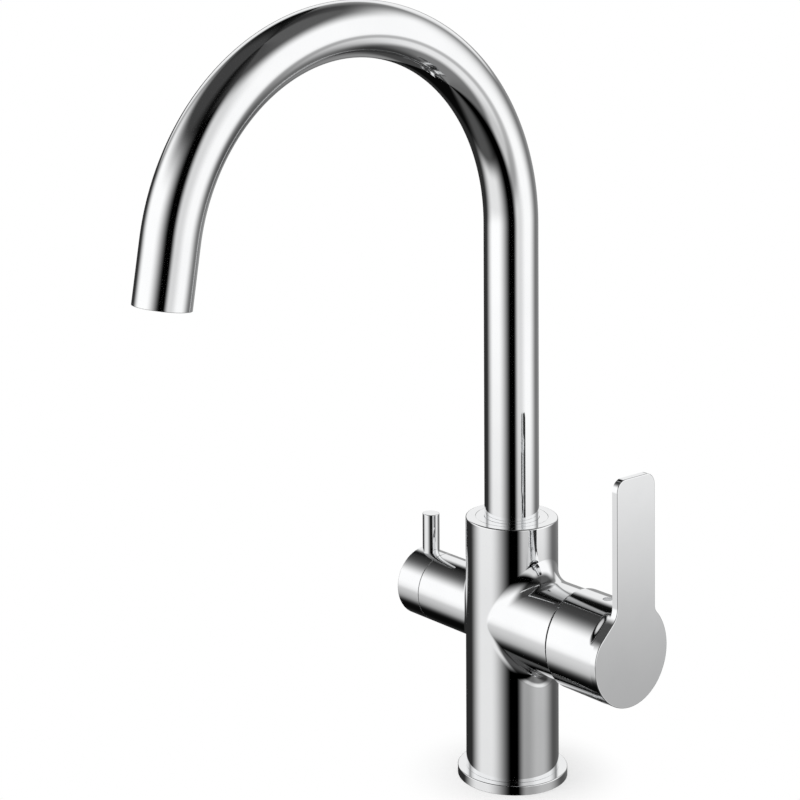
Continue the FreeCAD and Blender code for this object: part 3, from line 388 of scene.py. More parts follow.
FINISHES: dict[str, Finish] = {
    "chrome": Finish("polished_chrome", (0.88, 0.885, 0.89), (0.85, 0.855, 0.862), 1.0, 0.045, 0.02,
                     Pattern.POLISH, 28.0, 0.0004),
    "brass": Finish("turned_brass", (0.78, 0.57, 0.26), (0.66, 0.45, 0.18), 1.0, 0.28, 0.12,
                    Pattern.TURNED, 6.0, 0.01),
    "steel": Finish("stainless_steel", (0.62, 0.61, 0.59), (0.53, 0.52, 0.5), 1.0, 0.24, 0.1,
                    Pattern.TURNED, 4.0, 0.008),
    "rubber": Finish("nitrile_rubber", (0.016, 0.016, 0.017), (0.035, 0.035, 0.034), 0.0, 0.52, 0.16,
                     Pattern.GRAIN, 5.0, 0.02),
    "ceramic": Finish("lapped_ceramic", (0.86, 0.85, 0.82), (0.8, 0.785, 0.75), 0.0, 0.16, 0.08,
                      Pattern.GRAIN, 7.0, 0.004, coat=0.25),
    "grey_plastic": Finish("grey_moulding", (0.28, 0.285, 0.29), (0.23, 0.235, 0.24), 0.0, 0.42, 0.12,
                           Pattern.MOULDED, 6.0, 0.02),
    "white_plastic": Finish("white_moulding", (0.78, 0.78, 0.76), (0.7, 0.7, 0.675), 0.0, 0.34, 0.1,
                            Pattern.MOULDED, 5.0, 0.015),
    "pipe_plastic": Finish("water_pipe", (0.72, 0.74, 0.76), (0.64, 0.66, 0.69), 0.0, 0.3, 0.08,
                           Pattern.MOULDED, 12.0, 0.01),
    "plug_plastic": Finish("plug_moulding", (0.5, 0.51, 0.52), (0.44, 0.45, 0.46), 0.0, 0.3, 0.08,
                           Pattern.MOULDED, 3.0, 0.01),
}


# --- skins: dense surfaces with exact normals ---

WELD = 0.0015  # millimetres
WELD_OFFSET = 0.237  # keeps round sizes away from the cells' borders
FLAT_WELD = 1e-7  # millimetres
CURVE_POINTS = 360
WINDOW_ROWS = 6
ROUND_STEPS = 5


def turned_rows(corners: Corners) -> Array:
    """Rows of a turned wall from its corners.

    Args:
        corners: (radius, height) or (radius, height, rounding) in millimetres; the outside is on the right of
            the way through them.

    Returns:
        Rows of radius, height and the two parts of the normal.
    """
    points = [np.array(corner[:2], float) for corner in corners]
    rounds = [corner[2] if len(corner) > 2 else 0.0 for corner in corners]
    ways = [(b - a) / np.linalg.norm(b - a) for a, b in zip(points[:-1], points[1:])]
    outs = [np.array((way[1], -way[0])) for way in ways]
    rows = [(*points[0], *outs[0])]
    for place in range(1, len(points) - 1):
        before, after, radius = ways[place - 1], ways[place], rounds[place]
        if not radius:
            rows += [(*points[place], *outs[place - 1]), (*points[place], *outs[place])]
            continue
        turn = math.acos(max(-1.0, min(1.0, float(before @ after))))
        bulge = 1.0 if before[0] * after[1] - before[1] * after[0] > 0 else -1.0
        start = points[place] - before * radius * math.tan(turn / 2)
        centre = start - bulge * radius * outs[place - 1]
        for step in range(ROUND_STEPS + 1):
            angle = bulge * turn * step / ROUND_STEPS
            cosine, sine = math.cos(angle), math.sin(angle)
            out = outs[place - 1]
            out = np.array((cosine * out[0] - sine * out[1], sine * out[0] + cosine * out[1]))
            rows.append((*(centre + bulge * radius * out), *out))
    rows.append((*points[-1], *outs[-1]))
    return np.array(rows)


def circle(steps: int, start: float = 0.0) -> Array:
    """Angles of a closed circle in radians, its first one repeated at the end."""
    return start + np.arange(steps + 1) * (2 * math.pi / steps)


def inside(points: Array, outline: Array) -> Array:
    """Which points lie inside a closed outline.

    Args:
        points: Flat points.
        outline: The outline's points in order.

    Returns:
        A truth value for each point.
    """
    result = np.zeros(len(points), bool)
    following = np.roll(outline, -1, axis=0)
    for (ax, ay), (bx, by) in zip(outline, following):
        crosses = (ay > points[:, 1]) != (by > points[:, 1])
        with np.errstate(divide="ignore", invalid="ignore"):
            reach = (bx - ax) * (points[:, 1] - ay) / (by - ay) + ax
        result ^= crosses & (points[:, 0] < reach)
    return result


def matched(border: Array, table: Array, values: Array) -> Array:
    """Values of a closed curve's points that lie in the directions of a border's points.

    Args:
        border: Flat points round the curve, from its centre.
        table: Dense flat points of the curve, from its centre.
        values: The curve's own angle at each of them, in radians.

    Returns:
        The curve's angle for each border point.
    """
    want = np.arctan2(border[:, 0], border[:, 1])
    have = np.arctan2(table[:, 0], table[:, 1])
    drift = (values - have + math.pi) % (2 * math.pi) - math.pi
    order = np.argsort(have)
    return want + np.interp(want, have[order], drift[order], period=2 * math.pi)


@dataclass(frozen=True)
class Spindle:
    """An axis that turned shapes are drawn about: its origin and three directions."""

    origin: tuple[float, float, float]
    along: tuple[float, float, float]
    first: tuple[float, float, float]
    second: tuple[float, float, float]

    def points(self, radius: Any, height: Any, angle: Any) -> Array:
        """Points in millimetres from cylindrical ones, which may be arrays of one shape."""
        radius, height, angle = np.broadcast_arrays(radius, height, angle)
        across = np.cos(angle)[..., None] * np.array(self.first)
        across = across + np.sin(angle)[..., None] * np.array(self.second)
        return np.array(self.origin) + radius[..., None] * across + height[..., None] * np.array(self.along)

    def normals(self, outward: Any, upward: Any, angle: Any) -> Array:
        """Directions from their parts across and along the axis."""
        return self.points(outward, upward, angle) - np.array(self.origin)


def upright(across: float = 0.0, side: float = 0.0, height: float = 0.0) -> Spindle:
    """An upright axis through a point."""
    return Spindle((across, side, height), (0, 0, 1), (1, 0, 0), (0, 1, 0))


UPRIGHT = upright()


class Skin:
    """Gathers patches that carry exact normals and joins them into one closed mesh."""

    def __init__(self) -> None:
        """Starts with no patches."""
        self._corners: list[Array] = []
        self._normals: list[Array] = []

    def grid(self, points: Array, normals: Array) -> None:
        """Adds the four-sided faces of a grid.

        Args:
            points: Grid of points in millimetres.
            normals: Grid of outward directions.
        """
        for source, target in ((points, self._corners), (normals, self._normals)):
            faces = np.stack([source[:-1, :-1], source[1:, :-1], source[1:, 1:], source[:-1, 1:]], axis=2)
            target.extend(faces.reshape(-1, 4, 3))

    def turn(self, spindle: Spindle, corners: Corners, angles: Array) -> None:
        """Adds a turned wall.

        Args:
            spindle: The axis.
            corners: Its corners, as turned_rows takes them.
            angles: Angles round the axis.
        """
        radius, height, outward, upward = turned_rows(corners).T[..., None]
        self.grid(spindle.points(radius, height, angles), spindle.normals(outward, upward, angles))

    def flat(self, outline: Array, holes: Sequence[Array], place: Callable[[Array], Array],
             normal: Sequence[float]) -> None:
        """Adds a flat face with holes in it.

        Args:
            outline: Its flat outline.
            holes: Flat outlines of the holes.
            place: Carries flat points to their places.
            normal: Outward direction.
        """
        loops = [outline, *holes]
        flat = np.concatenate(loops)
        edges, start = [], 0
        for loop in loops:
            edges += [(start + i, start + (i + 1) % len(loop)) for i in range(len(loop))]
            start += len(loop)
        found = geometry.delaunay_2d_cdt([Vector(p) for p in flat], edges, [], 0, FLAT_WELD)
        corners = np.array([tuple(v) for v in found[0]])
        faces = [face for face in found[2] if len(face) == 3]
        middles = np.array([corners[list(face)].mean(0) for face in faces])
        solid = inside(middles, outline)
        for hole in holes:
            solid &= ~inside(middles, hole)
        placed = place(corners)
        out = np.tile(np.array(normal, float), (3, 1))
        for face, use in zip(faces, solid):
            if use:
                self._corners.append(placed[list(face)])
                self._normals.append(out)

    def make(self, name: str) -> bpy.types.Object:
        """Joins the patches.

        Args:
            name: Name of the piece.

        Returns:
            The piece, in metres, with its place in its mesh.
        """
        counts = np.array([len(c) for c in self._corners])
        flat = np.concatenate(self._corners)
        cells = np.floor(flat / WELD + WELD_OFFSET).astype(np.int64)
        _, first, index = np.unique(cells, axis=0, return_index=True, return_inverse=True)
        index = index.reshape(-1)
        ends = np.cumsum(counts)
        faces, directions = [], []
        for corners, normals, end, count in zip(self._corners, self._normals, ends, counts):
            ring, turns = [], []
            for step, vertex in enumerate(index[end - count:end]):
                if vertex not in ring:
                    ring.append(int(vertex))
                    turns.append(step)
            if len(ring) < 3:
                continue
            spot = flat[first[ring]]
            facing = np.cross(spot[1] - spot[0], spot[2] - spot[0])
            if len(ring) == 4:
                facing = np.cross(spot[2] - spot[0], spot[3] - spot[1])
            if np.dot(facing, normals[turns].sum(0)) < 0:
                ring.reverse()
                turns.reverse()
            faces.append(ring)
            directions.extend(normals[turns])
        mesh = bpy.data.meshes.new(name)
        mesh.from_pydata((flat[first] * MM).tolist(), [], faces)
        mesh.polygons.foreach_set("use_smooth", [True] * len(faces))
        lengths = np.linalg.norm(directions, axis=1, keepdims=True)
        mesh.normals_split_custom_set((np.array(directions) / lengths).tolist())
        self._report(name, faces)
        piece = bpy.data.objects.new(name, mesh)
        bpy.context.scene.collection.objects.link(piece)
        return piece

    @staticmethod
    def _report(name: str, faces: list[list[int]]) -> None:
        """Logs how many edges aren't shared by two faces that run opposite ways."""
        sides: dict[tuple[int, int], int] = {}
        for face in faces:
            for a, b in zip(face, face[1:] + face[:1]):
                sides[(a, b)] = sides.get((a, b), 0) + 1
        odd = sum(1 for (a, b), n in sides.items() if n != 1 or sides.get((b, a)) != 1)
        LOG.info("skin %s: %d faces, %d loose edges", name, len(faces), odd)


def drilled(skin: Skin, spindle: Spindle, radius: float, heights: Array, angles: Array,
            holes: Sequence["SideHole"], facing: float = 1.0) -> None:
    """Adds a cylindrical wall with round holes drilled square to it, and sets the holes' own angles.

    Args:
        skin: The skin that gets it.
        spindle: The wall's axis.
        radius: The wall's radius.
        heights: Heights of its rows.
        angles: Angles of its columns.
        holes: The holes.
        facing: 1 where the wall faces outwards, -1 where it faces its axis.
    """
    covered = np.zeros((len(heights) - 1, len(angles) - 1), bool)
    for hole in holes:
        rows = slice(int(np.argmin(abs(heights - hole.low))), int(np.argmin(abs(heights - hole.high))))
        centre = int(np.argmin(abs(angles - hole.angle)))
        columns = slice(centre - hole.reach, centre + hole.reach)
        covered[rows, columns] = True
        border = rectangle(heights[rows.start:rows.stop + 1], angles[columns.start:columns.stop + 1])
        own = circle(CURVE_POINTS)[:-1]
        table = hole.edge(radius, own)
        if hole.turns is None:
            hole.turns = matched((border - (hole.angle, hole.height)) * (radius, 1.0),
                                 (table - (hole.angle, hole.height)) * (radius, 1.0), own)
        edge = hole.edge(radius, hole.turns)
        share = np.linspace(0, 1, WINDOW_ROWS)[:, None, None]
        spread = edge[None] * (1 - share) + border[None] * share
        skin.grid(spindle.points(radius, spread[..., 1], spread[..., 0]),
                  spindle.normals(facing, 0.0, spread[..., 0]))
    points = spindle.points(radius, heights[:, None], angles[None, :])
    normals = spindle.normals(facing, 0.0, np.broadcast_to(angles, (len(heights), len(angles))))
    for row in range(len(heights) - 1):
        runs = np.flatnonzero(~covered[row])
        for run in np.split(runs, np.flatnonzero(np.diff(runs) > 1) + 1):
            part = np.s_[row:row + 2, run[0]:run[-1] + 2]
            skin.grid(points[part], normals[part])


def rectangle(heights: Array, angles: Array) -> Array:
    """The border of a window as (angle, height) pairs, closed, from the middle of its top.

    Args:
        heights: Heights of the window's rows.
        angles: Angles of its columns.

    Returns:
        The border's points with the first one repeated at the end.
    """
    middle = len(angles) // 2
    top, bottom = heights[-1], heights[0]
    points = [(a, top) for a in angles[middle:]]
    points += [(angles[-1], h) for h in heights[::-1][1:]]
    points += [(a, bottom) for a in angles[::-1][1:]]
    points += [(angles[0], h) for h in heights[1:]]
    points += [(a, top) for a in angles[1:middle + 1]]
    return np.array(points)


@dataclass
class SideHole:
    """A round hole drilled square into a cylindrical wall; lengths in millimetres, angles in radians."""

    height: float
    radius: float
    low: float
    high: float
    reach: int
    angle: float = 0.0
    turns: Array | None = None

    def edge(self, wall: float, turns: Array) -> Array:
        """The hole's edge on a wall, as (angle, height) pairs.

        Args:
            wall: The wall's radius.
            turns: The hole's own angles.

        Returns:
            The edge.
        """
        across = np.arcsin(self.radius * np.sin(turns) / wall)
        return np.stack([self.angle + across, self.height + self.radius * np.cos(turns)], axis=-1)

    def wall(self, skin: Skin, spindle: Spindle, outer: float, floor: Callable[[Array], Array]) -> None:
        """Adds the wall of the hole from the outer wall to given points.

        Args:
            skin: The skin that gets it.
            spindle: The wall's axis.
            outer: Radius of the outer wall.
            floor: Gives the points at the wall's other end for the hole's angles.
        """
        edge = self.edge(outer, self.turns)
        top = spindle.points(outer, edge[:, 1], edge[:, 0])
        side = spindle.normals(1.0, 0.0, np.array([self.angle + math.pi / 2]))[0]
        out = -(np.sin(self.turns)[:, None] * side + np.cos(self.turns)[:, None] * np.array(spindle.along))
        skin.grid(np.stack([top, floor(self.turns)]), np.stack([out, out]))


# --- sub-assemblies ---


class Assembly:
    """What every sub-assembly shares: its finish, and how a piece is handed to the frame."""

    body = "tap_body"
    slot = "chrome"

    def __init__(self, finishes: dict[str, bpy.types.Material]) -> None:
        """Keeps the materials by slot."""
        self.finishes = finishes

    @staticmethod
    def turned(name: str, spindle: Spindle, corners: Corners, angles: Array) -> bpy.types.Object:
        """Turns a piece that is one wall.

        Args:
            name: Name of the piece.
            spindle: Its axis.
            corners: Its corners, as turned_rows takes them.
            angles: Angles round the axis.

        Returns:
            The piece.
        """
        skin = Skin()
        skin.turn(spindle, corners, angles)
        return skin.make(name)

    def hand_over(self, piece: bpy.types.Object, node: str, slot: str | None = None) -> None:
        """Gives a piece its finish and its body, and hides the node that it stands for.

        Args:
            piece: The piece.
            node: Node that it replaces.
            slot: Its finish, where that isn't the sub-assembly's.
        """
        slot = slot or self.slot
        piece.data.materials.clear()
        piece.data.materials.append(self.finishes[slot])
        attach(piece, self.body)
        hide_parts(node)
        LOG.info("piece %s: %d faces", piece.name, len(piece.data.polygons))


@dataclass(frozen=True)
class BranchSizes:
    """Sizes of a branch of the casting, in millimetres; half_turn is half its window's angle in degrees."""

    height: float
    radius: float
    end: float
    fillet: float
    bore: float
    bore_floor: float
    toward: float
    half_turn: float


@dataclass(frozen=True)
class CastingSizes:
    """Sizes of the casting, in millimetres, with heights from the sink top.

    grid_step is the step of its windows' borders, in millimetres up and in degrees round. A stud hole or an
    inlet has its radius and its depth.
    """

    radius: float = 23.65
    top: float = 132.3
    rim: float = 0.8
    spigot: float = 21.0
    flange_top: float = 4.6
    recess: float = 18.6
    roof: float = 48.0
    window_low: float = 40.0
    window_high: float = 125.0
    end_round: float = 0.25
    foot_round: float = 0.15
    bore_round: float = 0.2
    swivel_bore: float = 18.65
    swivel_seat: float = 120.0
    seal_bore: float = 15.0
    seal_floor: float = 104.0
    chamber: float = 8.0
    chamber_floor: float = 71.0
    boss: float = 5.5
    boss_top: float = 90.0
    riser: float = 4.0
    riser_seat: float = 86.5
    grid_step: float = 2.5
    end_band: float = 2.0
    stud: tuple[float, float] = (3.4, 14.0)
    inlet: tuple[float, float] = (4.46, 12.0)
    inlet_places: tuple[tuple[float, float], ...] = ((8.0, 9.0), (8.0, -9.0), (-13.0, 0.0))
    mixer: BranchSizes = BranchSizes(height=83.0, radius=23.0, end=47.5, fillet=9.5, bore=18.0,
                                     bore_floor=15.1, toward=1.0, half_turn=110.0)
    filter: BranchSizes = BranchSizes(height=81.5, radius=17.5, end=53.0, fillet=3.5, bore=11.0,
                                      bore_floor=20.0, toward=-1.0, half_turn=70.0)


class Casting(Assembly):
    """The tap's body: column, both branches blended into it, and its open bores."""

    sizes = CastingSizes()
    around = 144
    around_hole = 48
    window_steps = 13
    window_crowding = 1.3  # above one, the window's rows crowd towards the blend
    blend_steps = 15
    branch_steps = 9

    def build(self) -> None:
        """Builds and hands over the casting."""
        skin = Skin()
        s = self.sizes
        angles = circle(self.around, math.radians(-s.mixer.half_turn))
        skin.turn(UPRIGHT, [
            (s.recess, s.roof), (s.recess, 0), (s.spigot, 0), (s.spigot, s.flange_top),
            (s.radius, s.flange_top, s.foot_round), (s.radius, s.window_low)], angles)
        skin.turn(UPRIGHT, [
            (s.radius, s.window_high), (s.radius, s.top, s.rim), (s.swivel_bore, s.top),
            (s.swivel_bore, s.swivel_seat), (s.seal_bore, s.swivel_seat), (s.seal_bore, s.seal_floor),
            (s.chamber, s.seal_floor), (s.chamber, s.chamber_floor), (s.boss, s.chamber_floor),
            (s.boss, s.boss_top), (s.riser, s.boss_top), (s.riser, s.riser_seat), (0, s.riser_seat)], angles)
        self._roof(skin, angles)
        for branch in (s.mixer, s.filter):
            self._branch(skin, branch)
        self.hand_over(skin.make("polished_casting"), "tap_body")

    def _roof(self, skin: Skin, angles: Array) -> None:
        """Adds the recess's roof with the inlets and the stud hole drilled into it."""
        s, turn, rims = self.sizes, circle(self.around_hole), []
        for place, (radius, depth) in [((0, 0), s.stud), *((place, s.inlet) for place in s.inlet_places)]:
            hole = upright(*place)
            rims.append(hole.points(radius, 0, turn[:-1])[:, :2])
            skin.turn(hole, [(0, s.roof + depth), (radius, s.roof + depth), (radius, s.roof)], turn)
        ring = UPRIGHT.points(s.recess, 0, angles[:-1])[:, :2]
        skin.flat(ring, rims, lambda p: np.column_stack([p, np.full(len(p), s.roof)]), (0, 0, -1))

    def _branch(self, skin: Skin, branch: BranchSizes) -> None:
        """Adds the column's wall round a branch, the blend, the branch and its bore.

        Args:
            skin: The casting's skin.
            branch: The branch.
        """
        s, column = self.sizes, self.sizes.radius
        reach, blend = branch.radius + branch.fillet, column + branch.fillet
        mirror = np.array((branch.toward, 1.0, 1.0))

        def ball(turn: Array) -> Array:
            """Middles of a ball that rolls in the corner, at the branch's angles."""
            side = reach * np.sin(turn)
            up = branch.height + reach * np.cos(turn)
            return np.stack([np.sqrt(blend ** 2 - side ** 2), side, up], axis=-1)

        def touch(turn: Array) -> Array:
            """Where the ball touches the column, as (angle, height) pairs."""
            middle = ball(turn)
            return np.stack([np.arctan2(middle[:, 1], middle[:, 0]), middle[:, 2]], axis=-1)

        half = math.radians(branch.half_turn)
        rows = round((s.window_high - s.window_low) / s.grid_step)
        columns = round(branch.half_turn / s.grid_step) * 2
        border = rectangle(np.linspace(s.window_low, s.window_high, rows + 1),
                           np.linspace(-half, half, columns + 1))
        own = circle(2 * CURVE_POINTS)[:-1]
        centre = np.array((0.0, branch.height))
        turn = matched((border - centre) * (column, 1.0), (touch(own) - centre) * (column, 1.0), own)
        edge = touch(turn)
        share = (np.linspace(0, 1, self.window_steps) ** self.window_crowding)[:, None, None]
        spread = edge[None] * (1 - share) + border[None] * share
        skin.grid(UPRIGHT.points(column, spread[..., 1], spread[..., 0]) * mirror,
                  UPRIGHT.normals(1.0, 0.0, spread[..., 0]) * mirror)
        middle = ball(turn)
        on_column = middle * (column / blend, column / blend, 1.0)
        on_branch = np.column_stack([middle[:, 0], branch.radius * np.sin(turn),
                                     branch.height + branch.radius * np.cos(turn)])
        first, second = (on_column - middle) / branch.fillet, (on_branch - middle) / branch.fillet
        opening = np.arccos(np.clip((first * second).sum(1), -1, 1))[:, None]
        arcs = np.stack([(np.sin((1 - t) * opening) * first + np.sin(t * opening) * second) / np.sin(opening)
                         for t in np.linspace(0, 1, self.blend_steps)])
        skin.grid((middle[None] + arcs * branch.fillet) * mirror, -arcs * mirror)
        spindle = Spindle((0, 0, branch.height), (branch.toward, 0, 0), (0, 0, 1), (0, 1, 0))
        start, end = middle[:, 0], branch.end - s.end_band
        along = np.stack([start * (1 - t) + end * t for t in np.linspace(0, 1, self.branch_steps)])
        skin.grid(spindle.points(branch.radius, along, turn[None]),
                  spindle.normals(1.0, 0.0, np.broadcast_to(turn, along.shape)))
        skin.turn(spindle, [
            (branch.radius, end), (branch.radius, branch.end, s.end_round),
            (branch.bore, branch.end, s.bore_round), (branch.bore, branch.bore_floor),
            (0, branch.bore_floor)], turn)


@dataclass(frozen=True)
class FootSizes:
    """Sizes of the foot ring and of the flush ring round the spout, in millimetres."""

    inner: float = 21.05
    groove_inner: float = 22.6
    groove_outer: float = 25.8
    groove_depth: float = 2.0
    outer: float = 28.0
    height: float = CastingSizes.flange_top
    edge: float = 0.5
    low_edge: float = 0.2
    collar_inner: float = 14.08
    collar_outer: float = 18.6
    collar_low: float = 125.1
    collar_top: float = CastingSizes.top
    collar_edge: float = 0.3
    collar_bore_edge: float = 0.2


class FootAndCollar(Assembly):
    """The ring that the tap stands on and the flush ring that the spout turns in."""

    sizes = FootSizes()
    around = 192

    def build(self) -> None:
        """Builds and hands over both rings."""
        s, angles = self.sizes, circle(self.around)
        self.hand_over(self.turned("foot_ring", UPRIGHT, [
            (s.inner, 0), (s.groove_inner, 0), (s.groove_inner, s.groove_depth),
            (s.groove_outer, s.groove_depth), (s.groove_outer, 0), (s.outer, 0, s.low_edge),
            (s.outer, s.height, s.edge), (s.inner, s.height), (s.inner, 0)], angles), "base_flange")
        self.hand_over(self.turned("flush_ring", UPRIGHT, [
            (s.collar_inner, s.collar_low), (s.collar_outer, s.collar_low),
            (s.collar_outer, s.collar_top, s.collar_edge), (s.collar_inner, s.collar_top, s.collar_bore_edge),
            (s.collar_inner, s.collar_low)], angles), "spout_collar")


@dataclass(frozen=True)
class SpoutSizes:
    """Sizes of the spout and its outlet, in millimetres and degrees.

    Both starts are heights above the sink top; recess and insert_depth are from the mouth.
    """

    radius: float = 14.0
    wall: float = 1.0
    start: float = 124.05
    arc_start: float = 282.5
    arc_radius: float = 106.5
    sweep: float = 170.9
    straight: float = 29.5
    lip: float = 0.28
    recess: float = 1.5
    ring_inner: float = 11.6
    ring_outer: float = 12.95
    ring_length: float = 12.0
    ring_edge: float = 0.3
    ring_bore_edge: float = 0.2
    insert_depth: float = 1.7
    insert_thickness: float = 3.0
    insert_inner: float = 4.55
    insert_outer: float = 11.55
    hole: float = 0.7
    first_row: float = 6.2
    row_step: float = 1.8
    cutter: float = 20.0
    nozzle: float = 4.5
    nozzle_bore: float = 2.6
    nozzle_length: float = 18.0
    nozzle_head: float = 6.0
    nozzle_edge: float = 0.4
    nozzle_socket: float = 3.0
    nozzle_socket_depth: float = 7.0

    def mouth(self) -> Spindle:
        """The outlet's axis, from the mouth into the tube."""
        lean = math.radians(self.sweep)
        way = (0.0, math.sin(lean), -math.cos(lean))
        reach = self.arc_radius * (1 - math.cos(lean)) + self.straight * math.sin(lean)
        height = self.arc_start + self.arc_radius * math.sin(lean) + self.straight * math.cos(lean)
        return Spindle((0, -reach, height), way, (1, 0, 0), (0, way[2], -way[1]))


class Spout(Assembly):
    """The swan neck, swept by one rule, and the parts in its mouth."""

    body = "spout"
    sizes = SpoutSizes()
    rows = 260
    around = 112
    around_outlet = 96
    around_core = 64
    around_hole = 14
    hole_rows = 3
    first_holes = 12
    more_holes = 6
    same_place = 1e-6  # metres

    def build(self) -> None:
        """Builds and hands over the spout."""
        self.hand_over(self._neck(), "spout_tube")
        self._outlet()
        self.hand_over(self._insert(), "aerator_insert", slot="white_plastic")

    def _neck(self) -> bpy.types.Object:
        """Sweeps the neck with Geometry Nodes.

        A grid is wrapped round the path: its rows run out along the outside and back along the bore, and each
        row's place on the path follows from its number.

        Returns:
            The neck.
        """
        s = self.sizes
        rule = RuleTree("neck_rule", {
            "Radius": s.radius * MM, "Wall": s.wall * MM, "Start": s.start * MM,
            "Arc start": s.arc_start * MM, "Arc radius": s.arc_radius * MM, "Sweep": math.radians(s.sweep),
            "Straight": s.straight * MM})
        grid = rule.add("GeometryNodeMeshGrid",
                        {"Vertices X": 2 * self.rows + 1, "Vertices Y": self.around + 1})
        index = rule.add("GeometryNodeInputIndex")
        row = ((index + 0.5) / (self.around + 1)).floor()
        turn = (index - row * (self.around + 1)) * (2 * math.pi / self.around)
        climb = rule.size("Arc start") - rule.size("Start")
        bend = rule.size("Arc radius") * rule.size("Sweep")
        share = (row.low(2 * self.rows - 1 - row)).high(0.0) / (self.rows - 1)
        place = share * (climb + bend + rule.size("Straight"))
        angle = ((place - climb) / rule.size("Arc radius")).high(0.0).low(rule.size("Sweep"))
        after = (place - climb - bend).high(0.0)
        returning = (row > self.rows - 0.5) * (row < 2 * self.rows - 0.5)
        radius = rule.size("Radius") - rule.size("Wall") * returning
        lift = radius * turn.sin()
        sine, cosine = angle.sin(), angle.cos()
        back = rule.size("Arc radius") * (cosine - 1) - after * sine + lift * cosine
        height = rule.size("Start") + place.low(climb) + rule.size("Arc radius") * sine
        height = height + after * cosine + lift * sine
        moved = rule.add("GeometryNodeSetPosition",
                         {"Geometry": grid, "Position": rule.vector(radius * turn.cos(), back, height)})
        closed = rule.add("GeometryNodeMergeByDistance", {"Geometry": moved, "Distance": self.same_place})
        smooth = rule.add("GeometryNodeSetShadeSmooth", {"Geometry": closed, "Shade Smooth": True})
        rule.finish(smooth, self.finishes["chrome"])
        return rule.make("swan_neck", bevel=s.lip * MM)

    def _outlet(self) -> None:
        """Turns the aerator's ring and the filtered nozzle."""
        s, mouth, angles = self.sizes, self.sizes.mouth(), circle(self.around_outlet)
        back, end = s.recess + s.ring_length, s.recess + s.nozzle_length
        self.hand_over(self.turned("mouth_ring", mouth, [
            (s.ring_inner, s.recess, s.ring_bore_edge), (s.ring_outer, s.recess, s.ring_edge),
            (s.ring_outer, back), (s.ring_inner, back), (s.ring_inner, s.recess)], angles), "aerator_ring")
        self.hand_over(self.turned("filtered_water_nozzle", mouth, [
            (s.nozzle_bore, s.recess), (s.nozzle, s.recess, s.nozzle_edge), (s.nozzle, back),
            (s.nozzle_head, back), (s.nozzle_head, end), (s.nozzle_socket, end),
            (s.nozzle_socket, end - s.nozzle_socket_depth), (s.nozzle_bore, end - s.nozzle_socket_depth),
            (s.nozzle_bore, s.recess)], angles), "filtered_nozzle", slot="white_plastic")

    def _insert(self) -> bpy.types.Object:
        """Drills the aerator's insert with Geometry Nodes.

        Returns:
            The insert.
        """
        s, mouth = self.sizes, self.sizes.mouth()
        rule = RuleTree("insert_rule", {
            "Inner": s.insert_inner * MM, "Outer": s.insert_outer * MM, "Thickness": s.insert_thickness * MM,
            "Hole": s.hole * MM, "First row": s.first_row * MM, "Row step": s.row_step * MM,
            "Cutter": s.cutter * MM})
        disc, core, drill = (
            rule.add("GeometryNodeMeshCylinder",
                     {"Vertices": around, "Radius": rule.size(radius), "Depth": rule.size(depth)})
            for around, radius, depth in ((self.around_outlet, "Outer", "Thickness"),
                                          (self.around_core, "Inner", "Cutter"),
                                          (self.around_hole, "Hole", "Cutter")))
        cutters = rule.tree.nodes.new("GeometryNodeJoinGeometry")
        rule.join(core, cutters.inputs[0])
        for number in range(self.hole_rows):
            ring = rule.add("GeometryNodeMeshCircle", {
                "Vertices": self.first_holes + self.more_holes * number,
                "Radius": rule.size("First row") + rule.size("Row step") * number})
            drills = rule.add("GeometryNodeInstanceOnPoints", {"Points": ring, "Instance": drill})
            rule.join(rule.add("GeometryNodeRealizeInstances", {"Geometry": drills}), cutters.inputs[0])
        cut = rule.tree.nodes.new("GeometryNodeMeshBoolean")
        cut.operation = "DIFFERENCE"
        rule.join(disc, cut.inputs["Mesh 1"])
        rule.join(Wire(rule, cutters.outputs[0]), cut.inputs["Mesh 2"])
        depth = (s.insert_depth + s.insert_thickness / 2) * MM
        place = Vector(mouth.origin) * MM + Vector(mouth.along) * depth
        lean = math.radians(180 - s.sweep)
        put = rule.add("GeometryNodeTransform", {
            "Geometry": Wire(rule, cut.outputs["Mesh"]), "Translation": place, "Rotation": (-lean, 0.0, 0.0)})
        rule.finish(put, self.finishes["white_plastic"])
        return rule.make("drilled_insert")


@dataclass(frozen=True)
class LeverSizes:
    """Sizes of the lever, in millimetres and degrees.

    Heights are from the mixer's axis, and rim, floor, back, face and the other places along it are from the
    column's axis.
    """

    axis: float = CastingSizes.mixer.height
    rim: float = 49.5
    skirt: float = 24.4
    rim_wall: float = 0.85
    wall: float = 2.4
    taper: float = 4.0
    floor: float = 76.35
    back: float = 80.35
    face: float = 83.75
    edge: float = 0.5
    plate: float = 25.1
    rise: float = 1.0
    blade_top: float = 87.5
    blade_front: float = 9.7
    blade_rear: float = 16.8
    corner: float = 6.0
    shoulder: float = 5.0
    neck: float = 10.0
    cheek: float = 15.0
    sweep: float = 48.0
    boss: float = 9.0
    boss_start: float = 66.0
    socket: float = 4.0
    socket_floor: float = 77.7
    screw_place: float = 68.0
    screw_hole: float = 2.55
    screw_window: float = 5.0
    rim_band: float = 51.5
    rim_edge: float = 0.2
    skirt_rows: tuple[float, ...] = (54.0, 57.0, 60.0)
    hollow_share: float = 0.55
    hollow_gap: float = 0.02
    plug: float = 2.5
    plug_low: float = 19.7
    plug_top: float = 24.2
    plug_edge: float = 0.3


